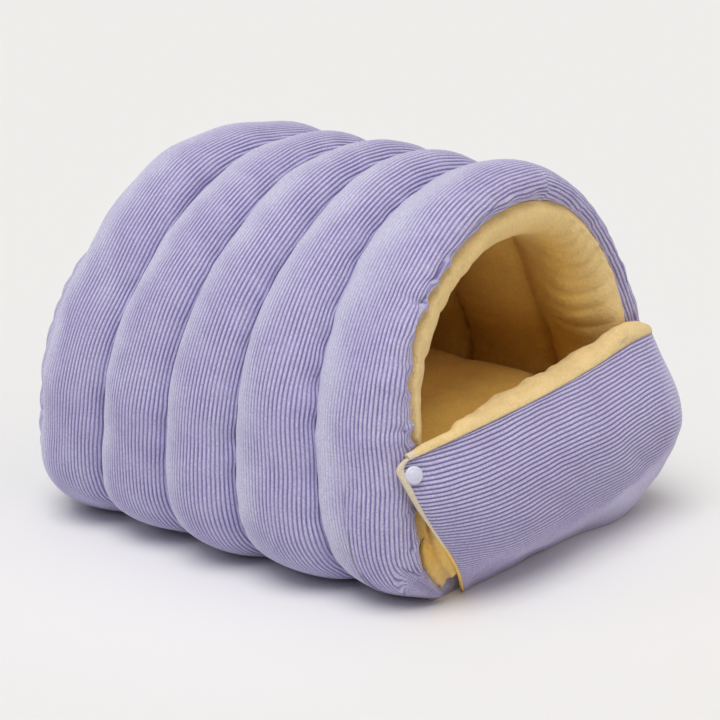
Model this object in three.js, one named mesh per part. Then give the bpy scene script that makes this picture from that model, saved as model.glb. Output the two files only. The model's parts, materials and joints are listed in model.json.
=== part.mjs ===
// Pet cave bed: a padded corduroy tunnel of five arched channels with a fleece lining, a padded flap
// across the foot of its mouth, and a floor cushion inside. Millimetres, +Z up, the mouth faces -Y.
import * as THREE from "three";

// Driving sizes
const MIDDLE_Y = 4.1; // the middle of the bed's length, in the tables' own measure along the tunnel
const SHOULDER_HEIGHT = 112; // where the arch stands upright, above the floor
const SHOULDER_SHARE = 0.78; // share of a section's run that lies above the shoulders
const FOOT_X = 112; // the walls' feet end here, on both sides
const FOOT_POWER = 4.1; // how square the walls turn in under themselves
const FOOT_SINK = 9; // presses the walls flat on the floor
const TILT_HEIGHT = 100; // seams lean about this height
const TILT_SPAN = 200; // and move by their lean over this rise
const GROOVE_DEPTH = 21; // the seams' depth below the channels' crests
const GROOVE_LIFT = 0.15; // share of a groove's depth by which it clears the floor
const WALL_GAP = 0.5; // between the corduroy's filling and the fleece
const WALL_FLOOR = 11; // the height of the filling's underside over the walls' feet
const LINING_LIFT = 2; // between the base pad and the lining's feet
const SEAT_GAP = 0.3; // between pieces that touch
const ARCH_ROUND = -0.02; // flattens the arch's shoulders a little

// How finely the sections are cut
const ARCH_STEPS = 40;
const FLOOR_STEPS = 8;
const CHANNEL_STEPS = 5;
const LINING_STEPS = 4;
const FLAP_STEPS = 21;
const FLAP_RISE_STEPS = 9;

// Seams between the channels, back to front: place along the tunnel and lean
const SEAMS = [
  { y: 179, lean: -31 },
  { y: 108, lean: -30 },
  { y: 38, lean: -20 },
  { y: -29, lean: -8 },
  { y: -98, lean: 15 },
];

// Channels, back to front: half width and height at the crest
const CHANNELS = [
  { halfWidth: 194, height: 310, round: -0.015, point: 0.03 },
  { halfWidth: 192, height: 306 },
  { halfWidth: 192, height: 304 },
  { halfWidth: 187, height: 299 },
  { halfWidth: 174, height: 294 },
];

// The front channel's face, from its crest round to the seam at the mouth. Turns are in degrees.
const FRONT = {
  crestY: -132,
  lean: 12,
  depth: 38,
  sideDrop: 24,
  topDrop: 18,
  turn: 120,
  steps: 5,
  turnsBehindCrest: [0, 30, 60],
};

// The shape of the arch at the mouth's seam
const MOUTH = { lean: 16, round: 0.07, point: -0.04 };

// The fleece from the mouth's seam round the lip and back towards the front channel's own seam
const LIP = [
  { halfWidth: 134, height: 259, y: -169, lean: 16, round: 0.07, point: -0.04 },
  { halfWidth: 128, height: 249, y: -166, lean: 16, round: 0.05, point: -0.02 },
  { halfWidth: 123, height: 241, y: -155, lean: 16, round: 0.03, point: 0.0 },
  { halfWidth: 120, height: 237, y: -138, lean: 15, round: 0.0, point: 0.04 },
  { halfWidth: 124, height: 243, y: -113, lean: 15, round: -0.03, point: 0.07 },
];

// Seams of the lining, back to front
const LINING_SEAMS = [
  { y: 179, lean: -31 },
  { y: 114, lean: -28 },
  { y: 52, lean: -18 },
  { y: -12, lean: -6 },
  { y: -98, lean: 15 },
];

// The lining inside the tunnel
const LINING = { seamWidth: 138, seamHeight: 254, swell: 17, round: -0.05, point: 0.08 };

// Where the shell's filling ends and the fleece begins
const WALL_BACK = { halfWidth: 155, height: 270, y: 179, lean: -31 };
const WALL_FRONT = { halfWidth: 145, height: 268, y: -150, lean: 16 };

// The flap's outer face from the buttoned tab round to the sewn end: points from its foot to its top edge
const FLAP_FACE = [
  { foot: [-84, -167, 0], low: [-118, -183, 36], high: [-152, -181, 86], top: [-163, -171, 117] },
  { foot: [-66, -167, 0], low: [-95, -195, 40], high: [-113, -197, 90], top: [-114, -183, 127] },
  { foot: [-30, -167, 0], low: [-50, -202, 42], high: [-55, -205, 95], top: [-56, -184, 133] },
  { foot: [10, -167, 0], low: [5, -204, 42], high: [5, -208, 97], top: [6, -184, 139] },
  { foot: [64, -168, 0], low: [66, -206, 46], high: [66, -208, 100], top: [66, -181, 146] },
  { foot: [108, -175, 0], low: [116, -206, 50], high: [116, -208, 98], top: [114, -180, 151] },
  { foot: [140, -170, 0], low: [157, -198, 52], high: [157, -204, 94], top: [152, -179, 154] },
  { foot: [160, -150, 0], low: [181, -172, 54], high: [181, -174, 92], top: [176, -157, 147] },
  { foot: [168, -118, 0], low: [186, -126, 50], high: [187, -126, 92], top: [184, -115, 134] },
];

// The same sections' padding at the belly and at the top edge, and the rise of the fleece roll above
const FLAP_FILLING = [
  { pad: 4, lip: 4, roll: 2 },
  { pad: 18, lip: 10, roll: 4 },
  { pad: 38, lip: 22, roll: 4 },
  { pad: 42, lip: 24, roll: 4 },
  { pad: 42, lip: 23, roll: 7 },
  { pad: 32, lip: 10, roll: 15 },
  { pad: 20, lip: 9, roll: 6 },
  { pad: 8, lip: 8, roll: 4 },
  { pad: 8, lip: 6, roll: 3 },
];
// How the flap is filled and its fleece rolled over: the padding where it is sewn to the base, how much
// of the padding's slope is kept, the lift of its fleece off the floor, and the roll's turn and tuck
const FLAP_FILL = { footPadding: 5, slope: 0.4, lift: 3, rollSteps: 5, rollTurn: 155, tuck: 0.2 };

// The gathered back: its rings from the middle out, those on its inner face, and the puckers at its seam
const BACK = {
  bulge: 33,
  edgePower: 5,
  edgeDrop: 0.97,
  rings: [0.3, 0.6, 0.8, 0.92, 0.98, 1],
  innerRings: [1, 0.95, 0.5],
  pucker: 1.6,
  puckerFrom: 0.75,
  puckerEvery: 4,
  puckerLift: 0.4,
};

// The fleece on the back's inside
const BACK_FLEECE = {
  inset: 10,
  lift: 2.5,
  edge: 6,
  crown: 14,
  rings: [0.35, 0.65, 0.85, 0.96, 1],
  innerRings: [1, 0.5],
};

// The base pad and, from its underside up, how far its edges are drawn in
const PAD = { height: 20, front: -160, backGap: 1 };
const PAD_LEVELS = [
  { z: 0, inset: 3 },
  { z: 3, inset: 0.5 },
  { z: 10, inset: 0 },
  { z: 17, inset: 0.5 },
  { z: PAD.height, inset: 4 },
];

// The floor cushion. It is widest at a height below its crown, and lower and narrower at its ends.
const CUSHION = {
  front: -146,
  back: 158,
  height: 121,
  widest: 108,
  widthShare: 0.96,
  sideGap: 4,
  endWidth: 0.75,
  endWidest: 60.3,
  endHeight: 65.3,
  endMiddle: 50.3,
  endRound: 0.35,
  crownRound: 0.7,
  stations: 26,
  around: 28,
};

// The snap's cap, its place on the tab, and its profile as shares of the radius with their heights
const SNAP = { radius: 6.2, along: 0.018, up: 0.89, segments: 24 };
const SNAP_PROFILE = [
  { share: 0, height: 0 },
  { share: 1, height: 0 },
  { share: 1, height: 1.1 },
  { share: 0.93, height: 2.0 },
  { share: 0.7, height: 2.8 },
  { share: 0.35, height: 3.2 },
  { share: 0, height: 3.3 },
];

const CORDUROY = new THREE.MeshStandardMaterial({ color: 0xa59bc8, roughness: 0.95, metalness: 0 });
const FLEECE = new THREE.MeshStandardMaterial({ color: 0xe0c48a, roughness: 1, metalness: 0 });
const PLASTIC = new THREE.MeshStandardMaterial({ color: 0xd5daec, roughness: 0.35, metalness: 0 });

const mix = (a, b, share) => a + (b - a) * share;

// How far a section's lean carries it along the tunnel at a height. The front stands upright below.
function leanAt(section, z) {
  const rise = section.uprightBelow ? Math.max(z - TILT_HEIGHT, 0) : z - TILT_HEIGHT;
  return (section.lean * rise) / TILT_SPAN;
}

// A point of an arched section: run goes from -1 at the left foot over 0 at the top to 1 at the right.
// The foot stops at FOOT_X, at the section's floor height. A lean moves the point along the tunnel.
function archPoint(run, section) {
  const { halfWidth, height, floor = 0, sink = 0, round = ARCH_ROUND, point = 0 } = section;
  const side = Math.sign(run);
  let x;
  let z;
  if (Math.abs(run) <= SHOULDER_SHARE) {
    const angle = ((run / SHOULDER_SHARE) * Math.PI) / 2;
    const diagonal = Math.sin(2 * Math.abs(angle));
    const swell = 1 + round * diagonal ** 2 + point * diagonal * Math.sin(4 * Math.abs(angle));
    x = halfWidth * Math.sin(angle) * swell;
    z = SHOULDER_HEIGHT + (height - SHOULDER_HEIGHT) * Math.cos(angle) * swell;
  } else {
    const last = Math.acos((FOOT_X / halfWidth) ** (FOOT_POWER / 2));
    const angle = ((Math.abs(run) - SHOULDER_SHARE) / (1 - SHOULDER_SHARE)) * last;
    const fall = Math.sin(angle) ** (2 / FOOT_POWER);
    x = side * halfWidth * Math.cos(angle) ** (2 / FOOT_POWER);
    z = Math.max(floor, SHOULDER_HEIGHT - (SHOULDER_HEIGHT - floor) * fall - sink * fall ** 8);
  }
  return new THREE.Vector3(x, section.y + leanAt(section, z), z);
}

// Rows of points, one row for each step of the arch
function archGrid(sections) {
  const rows = [];
  for (let i = 0; i <= ARCH_STEPS; i++) {
    const run = (2 * i) / ARCH_STEPS - 1;
    rows.push(sections.map((section) => archPoint(run, section)));
  }
  return rows;
}

// A closed geometry from points and faces, turned so that its faces point outwards
function closedGeometry(points, faces) {
  let volume = 0;
  for (const [a, b, c] of faces) {
    volume += points[a].dot(new THREE.Vector3().crossVectors(points[b], points[c]));
  }
  const outward = volume > 0 ? faces : faces.map(([a, b, c]) => [a, c, b]);
  const geometry = new THREE.BufferGeometry().setFromPoints(points);
  geometry.setIndex(outward.flat());
  geometry.computeVertexNormals();
  return geometry;
}

// A sheet or filled cloth between two grids of equal size, closed along its four edges
function slab(front, back) {
  const rows = front.length;
  const columns = front[0].length;
  const points = [...front.flat(), ...back.flat()];
  const faces = [];
  const at = (side, i, j) => side * rows * columns + i * columns + j;
  const quad = (a, b, c, d) => faces.push([a, b, c], [a, c, d]);
  for (let i = 0; i + 1 < rows; i++) {
    for (let j = 0; j + 1 < columns; j++) {
      quad(at(0, i, j), at(0, i, j + 1), at(0, i + 1, j + 1), at(0, i + 1, j));
      quad(at(1, i, j), at(1, i + 1, j), at(1, i + 1, j + 1), at(1, i, j + 1));
    }
  }
  for (let j = 0; j + 1 < columns; j++) {
    quad(at(0, 0, j), at(1, 0, j), at(1, 0, j + 1), at(0, 0, j + 1));
    quad(at(0, rows - 1, j), at(0, rows - 1, j + 1), at(1, rows - 1, j + 1), at(1, rows - 1, j));
  }
  for (let i = 0; i + 1 < rows; i++) {
    quad(at(0, i, 0), at(0, i + 1, 0), at(1, i + 1, 0), at(1, i, 0));
    const last = columns - 1;
    quad(at(0, i, last), at(1, i, last), at(1, i + 1, last), at(0, i + 1, last));
  }
  return closedGeometry(points, faces);
}

// A solid through a stack of closed loops of equal size, ending in a point at both ends
function loft(loops, start, end) {
  const count = loops[0].length;
  const points = [start, ...loops.flat(), end];
  const faces = [];
  const at = (loop, k) => 1 + loop * count + (k % count);
  for (let k = 0; k < count; k++) {
    faces.push([0, at(0, k + 1), at(0, k)]);
    faces.push([points.length - 1, at(loops.length - 1, k), at(loops.length - 1, k + 1)]);
    for (let loop = 0; loop + 1 < loops.length; loop++) {
      faces.push([at(loop, k), at(loop, k + 1), at(loop + 1, k + 1)]);
      faces.push([at(loop, k), at(loop + 1, k + 1), at(loop + 1, k)]);
    }
  }
  return closedGeometry(points, faces);
}

function mesh(name, geometry, material) {
  const made = new THREE.Mesh(geometry, material);
  made.name = name;
  return made;
}

// The groove at a seam lies below the mean crest of its two channels
function grooveAt(seam) {
  const before = CHANNELS[Math.max(seam - 1, 0)];
  const after = CHANNELS[seam];
  return {
    halfWidth: (before.halfWidth + after.halfWidth) / 2 - GROOVE_DEPTH,
    height: (before.height + after.height) / 2 - GROOVE_DEPTH,
  };
}

// One outer section of a channel: turn goes from 0 at the back seam to 180 degrees at the front seam
function channelSection(channel, turn) {
  const crest = CHANNELS[channel];
  const groove = grooveAt(turn <= 90 ? channel : channel + 1);
  const drop = 1 - Math.sin(THREE.MathUtils.degToRad(turn));
  const share = (1 - Math.cos(THREE.MathUtils.degToRad(turn))) / 2;
  const back = SEAMS[channel];
  const mirrored = { y: 2 * FRONT.crestY - back.y, lean: 2 * FRONT.lean - back.lean };
  const front = SEAMS[channel + 1] ?? mirrored;
  return {
    halfWidth: mix(crest.halfWidth, groove.halfWidth, drop),
    height: mix(crest.height, groove.height, drop),
    floor: GROOVE_LIFT * GROOVE_DEPTH * drop,
    sink: FOOT_SINK,
    round: crest.round ?? ARCH_ROUND,
    point: crest.point ?? 0,
    y: mix(back.y, front.y, share),
    lean: mix(back.lean, front.lean, share),
  };
}

// The front channel's face rolls over from its crest to the mouth's seam
function frontSection(turn) {
  const crest = CHANNELS[CHANNELS.length - 1];
  const angle = THREE.MathUtils.degToRad(turn);
  const share = turn / FRONT.turn;
  return {
    halfWidth: crest.halfWidth - FRONT.sideDrop * (1 - Math.cos(angle)),
    height: crest.height - FRONT.topDrop * (1 - Math.cos(angle)),
    sink: FOOT_SINK * (1 - share),
    y: FRONT.crestY - FRONT.depth * Math.sin(angle),
    lean: mix(FRONT.lean, MOUTH.lean, share),
    uprightBelow: true,
    round: mix(ARCH_ROUND, MOUTH.round, share),
    point: mix(0, MOUTH.point, share),
  };
}

// The outside of the tunnel, back to front
function outerSections() {
  const sections = [];
  const last = CHANNELS.length - 1;
  for (let channel = 0; channel < last; channel++) {
    for (let k = 0; k < CHANNEL_STEPS; k++) {
      sections.push(channelSection(channel, (180 * k) / CHANNEL_STEPS));
    }
  }
  for (const turn of FRONT.turnsBehindCrest) {
    sections.push(channelSection(last, turn));
  }
  for (let k = 0; k <= FRONT.steps; k++) {
    sections.push(frontSection((FRONT.turn * k) / FRONT.steps));
  }
  return sections;
}

// The face between filling and fleece, in count even steps from back to front
function wallSections(count, inset, floor) {
  const sections = [];
  for (let k = 0; k < count; k++) {
    const share = k / (count - 1);
    sections.push({
      halfWidth: mix(WALL_BACK.halfWidth, WALL_FRONT.halfWidth, share) - inset,
      height: mix(WALL_BACK.height, WALL_FRONT.height, share) - inset,
      floor: floor + inset,
      y: mix(WALL_BACK.y, WALL_FRONT.y, share) + (inset * share) / 2,
      lean: mix(WALL_BACK.lean, WALL_FRONT.lean, share),
      round: mix(0, MOUTH.round, share),
      point: mix(0, MOUTH.point, share),
    });
  }
  return sections;
}

// The inside of the tunnel, back to front and out over the lip
function innerSections() {
  const sections = [];
  for (let channel = 0; channel + 1 < CHANNELS.length; channel++) {
    for (let k = 0; k < LINING_STEPS; k++) {
      const angle = (Math.PI * k) / LINING_STEPS;
      const share = (1 - Math.cos(angle)) / 2;
      const swell = LINING.swell * Math.sin(angle);
      sections.push({
        halfWidth: LINING.seamWidth - swell,
        height: LINING.seamHeight - swell,
        y: mix(LINING_SEAMS[channel].y, LINING_SEAMS[channel + 1].y, share),
        lean: mix(LINING_SEAMS[channel].lean, LINING_SEAMS[channel + 1].lean, share),
      });
    }
  }
  const frontSeam = LINING_SEAMS[LINING_SEAMS.length - 1];
  sections.push({ halfWidth: LINING.seamWidth, height: LINING.seamHeight, ...frontSeam });
  const rounded = sections.map((section) => ({ round: LINING.round, point: LINING.point, ...section }));
  const lip = [...LIP].reverse().map((section) => ({ uprightBelow: true, ...section }));
  const seam = frontSection(FRONT.turn);
  seam.halfWidth -= WALL_GAP;
  seam.height -= WALL_GAP;
  seam.y += WALL_GAP / 2;
  return [...rounded, ...lip, seam].map((section) => ({ floor: PAD.height + LINING_LIFT, ...section }));
}

function tunnelShell() {
  const outer = outerSections();
  return slab(archGrid(outer), archGrid(wallSections(outer.length, 0, WALL_FLOOR)));
}

function tunnelLining() {
  const inner = innerSections();
  return slab(archGrid(wallSections(inner.length, WALL_GAP, WALL_FLOOR)), archGrid(inner));
}

// A point on the shoulders' height, over the middle of a section
function sectionMiddle(section, shift) {
  return new THREE.Vector3(0, section.y + leanAt(section, SHOULDER_HEIGHT) + shift, SHOULDER_HEIGHT);
}

// The closed outline of a tunnel section, drawn in about its middle by shrink and moved along by shift
function outline(section, shrink, shift) {
  const loop = [];
  for (let i = 0; i <= ARCH_STEPS; i++) {
    loop.push(archPoint((2 * i) / ARCH_STEPS - 1, section));
  }
  for (let i = 1; i < FLOOR_STEPS; i++) {
    loop.push(loop[ARCH_STEPS].clone().lerp(loop[0], i / FLOOR_STEPS));
  }
  return loop.map((p, k) => {
    const z = mix(SHOULDER_HEIGHT, p.z, shrink);
    return new THREE.Vector3(p.x * shrink, section.y + leanAt(section, z) + shift(k), z);
  });
}

// The gathered back: flat against the tunnel's end, bulging out behind, puckered along its seam
function backPanel() {
  const section = { ...grooveAt(0), sink: FOOT_SINK, ...SEAMS[0] };
  const bulge = (size) => BACK.bulge * Math.sqrt(1 - BACK.edgeDrop * size ** BACK.edgePower);
  const pucker = (size, k) => {
    const gathered = size > BACK.puckerFrom && size < 1;
    return gathered ? BACK.pucker * (k % BACK.puckerEvery === 0 ? -1 : BACK.puckerLift) : 0;
  };
  const outer = BACK.rings.map((size) => outline(section, size, (k) => bulge(size) + pucker(size, k)));
  const inner = BACK.innerRings.map((size) => outline(section, size, () => SEAT_GAP));
  return loft([...outer, ...inner], sectionMiddle(section, BACK.bulge), sectionMiddle(section, SEAT_GAP));
}

// The fleece on the inside of the back, a shallow pillow within the lining's end
function backLining() {
  const section = {
    halfWidth: LINING.seamWidth - BACK_FLEECE.inset,
    height: LINING.seamHeight - BACK_FLEECE.inset,
    floor: PAD.height + BACK_FLEECE.lift,
    round: LINING.round,
    point: LINING.point,
    ...SEAMS[0],
  };
  const swell = (size) => -BACK_FLEECE.edge - BACK_FLEECE.crown * Math.sqrt(1 - size ** 2);
  const outer = BACK_FLEECE.rings.map((size) => outline(section, size, () => swell(size)));
  const inner = BACK_FLEECE.innerRings.map((size) => outline(section, size, () => -SEAT_GAP));
  return loft([...outer, ...inner], sectionMiddle(section, swell(0)), sectionMiddle(section, -SEAT_GAP));
}

// A flat pad between the walls' feet, softly rounded at its front and back edges
function basePad() {
  const halfWidth = FOOT_X - SEAT_GAP;
  const back = SEAMS[0].y + leanAt(SEAMS[0], PAD.height) - PAD.backGap;
  const loops = PAD_LEVELS.map(({ z, inset }) => {
    const corners = [
      [-halfWidth, PAD.front + inset],
      [halfWidth, PAD.front + inset],
      [halfWidth, back - inset],
      [-halfWidth, back - inset],
    ];
    return corners.map(([x, y]) => new THREE.Vector3(x, y, z));
  });
  const centre = (z) => new THREE.Vector3(0, (PAD.front + back) / 2, z);
  return loft(loops, centre(0), centre(PAD.height));
}

// The half width left for the cushion between the lining's channels
function roomBeside(y) {
  const sections = innerSections();
  for (let k = 0; k + 1 < sections.length; k++) {
    const [a, b] = [sections[k], sections[k + 1]];
    if (y <= a.y && y >= b.y) {
      return mix(a.halfWidth, b.halfWidth, (a.y - y) / (a.y - b.y));
    }
  }
  return LINING.seamWidth - LINING.swell;
}

// A closed loop across the cushion: squared below its widest height, crowned above
function cushionLoop(y, halfWidth, widest, top) {
  const bottom = PAD.height + SEAT_GAP;
  const loop = [];
  for (let k = 0; k < CUSHION.around; k++) {
    const turn = (2 * Math.PI * k) / CUSHION.around;
    const [c, s] = [Math.cos(turn), Math.sin(turn)];
    const power = s < 0 ? 2 / FOOT_POWER : CUSHION.crownRound;
    const z = mix(widest, s < 0 ? bottom : top, Math.abs(s) ** power);
    loop.push(new THREE.Vector3(halfWidth * Math.sign(c) * Math.abs(c) ** power, y, z));
  }
  return loop;
}

// A filled fleece cushion, crowned, its edges pressed round between the walls
function floorCushion() {
  const loops = [];
  for (let i = 1; i < CUSHION.stations; i++) {
    const angle = (Math.PI * i) / CUSHION.stations;
    const y = mix(CUSHION.back, CUSHION.front, (1 - Math.cos(angle)) / 2);
    const end = Math.sin(angle) ** CUSHION.endRound;
    const room = roomBeside(y) * CUSHION.widthShare - CUSHION.sideGap;
    const halfWidth = room * mix(CUSHION.endWidth, 1, end);
    const widest = mix(CUSHION.endWidest, CUSHION.widest, end);
    loops.push(cushionLoop(y, halfWidth, widest, mix(CUSHION.endHeight, CUSHION.height, end)));
  }
  const middle = (y) => new THREE.Vector3(0, y, CUSHION.endMiddle);
  return loft(loops, middle(CUSHION.back), middle(CUSHION.front));
}

// A smooth curve through evenly spaced values
function curveValue(values, place) {
  const points = values.map(([x, y, z]) => new THREE.Vector3(x, y, z));
  return new THREE.CatmullRomCurve3(points, false, "catmullrom", 0.5).getPoint(place);
}

// A point of the flap's outer face: along from the tab, 0, to the sewn end, 1, and up from the floor
function flapPoint(along, up) {
  const ladder = ["foot", "low", "high", "top"].map((level) => {
    return curveValue(FLAP_FACE.map((section) => section[level]), along).toArray();
  });
  return curveValue(ladder, up);
}

function flapNormal(along, up) {
  const step = 0.01;
  const [a, b] = [Math.max(along - step, 0), Math.min(along + step, 1)];
  const [c, d] = [Math.max(up - step, 0), Math.min(up + step, 1)];
  const across = flapPoint(b, up).sub(flapPoint(a, up));
  const upward = flapPoint(along, d).sub(flapPoint(along, c));
  return across.cross(upward).normalize();
}

// The flap's padding, lip and roll at a place along it
function flapFilling(along) {
  const filling = FLAP_FILLING.map((section) => [section.pad, section.lip, section.roll]);
  const { x: pad, y: lip, z: roll } = curveValue(filling, along);
  return { pad, lip, roll };
}

function flapPadding(along, up) {
  const { pad, lip } = flapFilling(along);
  const foot = Math.min(FLAP_FILL.footPadding, pad);
  return curveValue([foot, pad, pad, lip].map((depth) => [depth, 0, 0]), up).x;
}

// The flap's face moved in by a share of its padding, never below the floor
function flapGrid(share) {
  const rows = [];
  for (let i = 0; i <= FLAP_STEPS; i++) {
    const along = i / FLAP_STEPS;
    const row = [];
    for (let k = 0; k <= FLAP_RISE_STEPS; k++) {
      const up = k / FLAP_RISE_STEPS;
      const inward = flapNormal(along, up).multiplyScalar(-share * flapPadding(along, up));
      inward.z *= FLAP_FILL.slope;
      const point = flapPoint(along, up).add(inward);
      point.z = Math.max(point.z, share * FLAP_FILL.lift);
      row.push(point);
    }
    rows.push(row);
  }
  return rows;
}

function frontFlap() {
  return slab(flapGrid(0), flapGrid(0.5));
}

// The flap's fleece: its inner face, then a roll over the top that meets the corduroy's edge
function flapLining() {
  const hidden = flapGrid(0.5);
  const shown = flapGrid(1);
  for (let i = 0; i <= FLAP_STEPS; i++) {
    const along = i / FLAP_STEPS;
    const inward = flapNormal(along, 1).setZ(0).normalize().negate();
    hidden[i].forEach((point) => point.addScaledVector(inward, WALL_GAP));
    shown[i].forEach((point) => point.addScaledVector(inward, WALL_GAP));
    const edge = flapPoint(along, 1);
    const radius = (flapPadding(along, 1) + WALL_GAP) / 2;
    const { roll } = flapFilling(along);
    for (let k = 1; k <= FLAP_FILL.rollSteps; k++) {
      const share = k / FLAP_FILL.rollSteps;
      const turn = THREE.MathUtils.degToRad(FLAP_FILL.rollTurn * share);
      const over = edge.clone().addScaledVector(inward, radius * (1 + Math.cos(turn)));
      const under = edge.clone().addScaledVector(inward, mix(radius, radius * FLAP_FILL.tuck, share));
      shown[i].push(over.setZ(edge.z + WALL_GAP + roll * Math.sin(turn)));
      hidden[i].push(under.setZ(edge.z + WALL_GAP));
    }
  }
  return slab(shown, hidden);
}

// A plain domed cap, its flat side on the tab
function snapCap() {
  const profile = SNAP_PROFILE.map(({ share, height }) => new THREE.Vector2(share * SNAP.radius, height));
  const cap = mesh("snap_cap", new THREE.LatheGeometry(profile, SNAP.segments), PLASTIC);
  const normal = flapNormal(SNAP.along, SNAP.up);
  cap.quaternion.setFromUnitVectors(new THREE.Vector3(0, 1, 0), normal);
  cap.position.copy(flapPoint(SNAP.along, SNAP.up)).addScaledVector(normal, 2 * SEAT_GAP);
  return cap;
}

const bed = new THREE.Group();
bed.position.y = -MIDDLE_Y;
bed.add(mesh("tunnel_shell", tunnelShell(), CORDUROY));
bed.add(mesh("tunnel_lining", tunnelLining(), FLEECE));
bed.add(mesh("back_panel", backPanel(), CORDUROY));
bed.add(mesh("back_lining", backLining(), FLEECE));
bed.add(mesh("base_pad", basePad(), CORDUROY));
bed.add(mesh("floor_cushion", floorCushion(), FLEECE));
bed.add(mesh("front_flap", frontFlap(), CORDUROY));
bed.add(mesh("flap_lining", flapLining(), FLEECE));
bed.add(snapCap());

export default bed;
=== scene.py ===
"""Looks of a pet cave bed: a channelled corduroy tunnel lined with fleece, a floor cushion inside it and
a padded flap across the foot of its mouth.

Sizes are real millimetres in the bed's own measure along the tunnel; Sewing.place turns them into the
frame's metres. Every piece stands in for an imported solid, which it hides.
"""

from __future__ import annotations

import json
import logging
import math
from dataclasses import dataclass, replace
from enum import Enum
from typing import Callable, Sequence, Union

import bmesh
import bpy
import numpy as np
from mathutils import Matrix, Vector

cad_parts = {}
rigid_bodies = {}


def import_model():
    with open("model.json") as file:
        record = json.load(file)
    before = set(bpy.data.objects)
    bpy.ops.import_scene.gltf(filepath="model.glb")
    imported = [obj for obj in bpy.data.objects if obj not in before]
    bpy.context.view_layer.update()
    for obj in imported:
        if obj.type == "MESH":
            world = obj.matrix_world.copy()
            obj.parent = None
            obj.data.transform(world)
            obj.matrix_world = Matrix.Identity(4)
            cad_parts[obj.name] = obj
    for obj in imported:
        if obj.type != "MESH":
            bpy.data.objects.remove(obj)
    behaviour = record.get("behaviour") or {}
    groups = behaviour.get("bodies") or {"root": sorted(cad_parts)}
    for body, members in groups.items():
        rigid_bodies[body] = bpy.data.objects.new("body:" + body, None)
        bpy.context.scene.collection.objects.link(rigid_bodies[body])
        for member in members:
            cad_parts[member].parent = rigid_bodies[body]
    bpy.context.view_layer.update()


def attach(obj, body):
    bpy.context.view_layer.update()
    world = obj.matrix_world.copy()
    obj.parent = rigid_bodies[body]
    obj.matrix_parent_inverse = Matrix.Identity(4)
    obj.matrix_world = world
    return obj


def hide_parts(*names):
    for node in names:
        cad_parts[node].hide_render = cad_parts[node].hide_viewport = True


LOG = logging.getLogger("cave_bed")

MM = 0.001
MIDDLE_Y = 4.1  # mm: the frame's origin lies this far along the tunnel's own measure
BODY = "root"

# The arch that all sections of the tunnel share, in mm
SHOULDER_HEIGHT = 112.0
SHOULDER_SHARE = 0.78
FOOT_X = 112.0
FOOT_POWER = 4.1
FOOT_SINK = 9.0
TILT_HEIGHT = 100.0
TILT_SPAN = 200.0
GROOVE_DEPTH = 21.0
GROOVE_LIFT = 0.15
ARCH_ROUND = -0.02
WALL_GAP = 0.5
WALL_FLOOR = 11.0
LINING_LIFT = 2.0
SEAT_GAP = 0.3

RIPPLE_WAVES = 7

WALE_PITCH = 3.2  # mm between the ribs, eight to the inch
WALE_HEIGHT = 0.85  # mm from the bottom of a groove to the top of a rib

Grid = np.ndarray  # rows of points, in mm: (rows, columns, 3)
Value = Union[float, int, str, tuple, bpy.types.NodeSocket, bpy.types.Material]


class ClothKind(Enum):
    """What a piece is made of: corduroy, fleece, base cloth or snap plastic."""

    CORDUROY = "corduroy"
    FLEECE = "fleece"
    BASE = "base_cloth"
    SNAP = "snap_plastic"


def mix(low: float, high: float, share: float) -> float:
    """Returns the value at a share of the way from low to high."""
    return low + (high - low) * share


def smooth_step(low: float, high: float, value: np.ndarray) -> np.ndarray:
    """Returns 0 below low and 1 above high, with a smooth rise between.

    Args:
        low: where the rise starts.
        high: where it ends, which may be below low for a fall.
        value: the values to shape.
    """
    share = np.clip((value - low) / (high - low), 0.0, 1.0)
    return share * share * (3.0 - 2.0 * share)


def bell(gap: np.ndarray, width: float) -> np.ndarray:
    """Returns 1 at no gap, falling off as a bell curve of that width does."""
    return np.exp(-((gap / width) ** 2))


def ripple(seed: int, u: np.ndarray, v: np.ndarray, shortest: float, longest: float) -> np.ndarray:
    """Sums a few sine waves of seeded direction, length and phase.

    Args:
        seed: fixes the waves.
        u: place one way, in mm.
        v: place the other way, in mm.
        shortest: the shortest wave, in mm.
        longest: the longest wave, in mm.

    Returns:
        Heights of about -1 to 1, shaped as u and v.
    """
    draw = np.random.default_rng(seed)
    total = np.zeros(np.broadcast(u, v).shape)
    for _ in range(RIPPLE_WAVES):
        length = draw.uniform(shortest, longest)
        angle = draw.uniform(0.0, math.pi)
        phase = draw.uniform(0.0, 2.0 * math.pi)
        wave = (u * math.cos(angle) + v * math.sin(angle)) * 2.0 * math.pi / length
        total = total + np.sin(wave + phase)
    return total / math.sqrt(RIPPLE_WAVES)


def curve_weights(count: int, places: np.ndarray) -> np.ndarray:
    """Weights of evenly spaced values along a smooth Catmull-Rom curve.

    Args:
        count: how many values the curve passes.
        places: shares of the way along it.

    Returns:
        One row of weights for each place.
    """
    flat = np.clip(np.asarray(places, float).ravel(), 0.0, 1.0) * (count - 1)
    start = np.minimum(flat.astype(int), count - 2)
    t = flat - start
    knots = {-1: 0.5 * (-t + 2 * t**2 - t**3), 0: 1 - 2.5 * t**2 + 1.5 * t**3}
    knots[1] = 0.5 * (t + 4 * t**2 - 3 * t**3)
    knots[2] = 0.5 * (t**3 - t**2)
    weights = np.zeros((flat.size, count))
    line = np.arange(flat.size)
    for step, weight in knots.items():
        index = start + step
        inside = (index >= 0) & (index < count)
        np.add.at(weights, (line[inside], index[inside]), weight[inside])
        first, last = index < 0, index >= count
        np.add.at(weights, (line[first], np.zeros(first.sum(), int)), 2 * weight[first])
        np.add.at(weights, (line[first], np.ones(first.sum(), int)), -weight[first])
        np.add.at(weights, (line[last], np.full(last.sum(), count - 1)), 2 * weight[last])
        np.add.at(weights, (line[last], np.full(last.sum(), count - 2)), -weight[last])
    return weights


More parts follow.
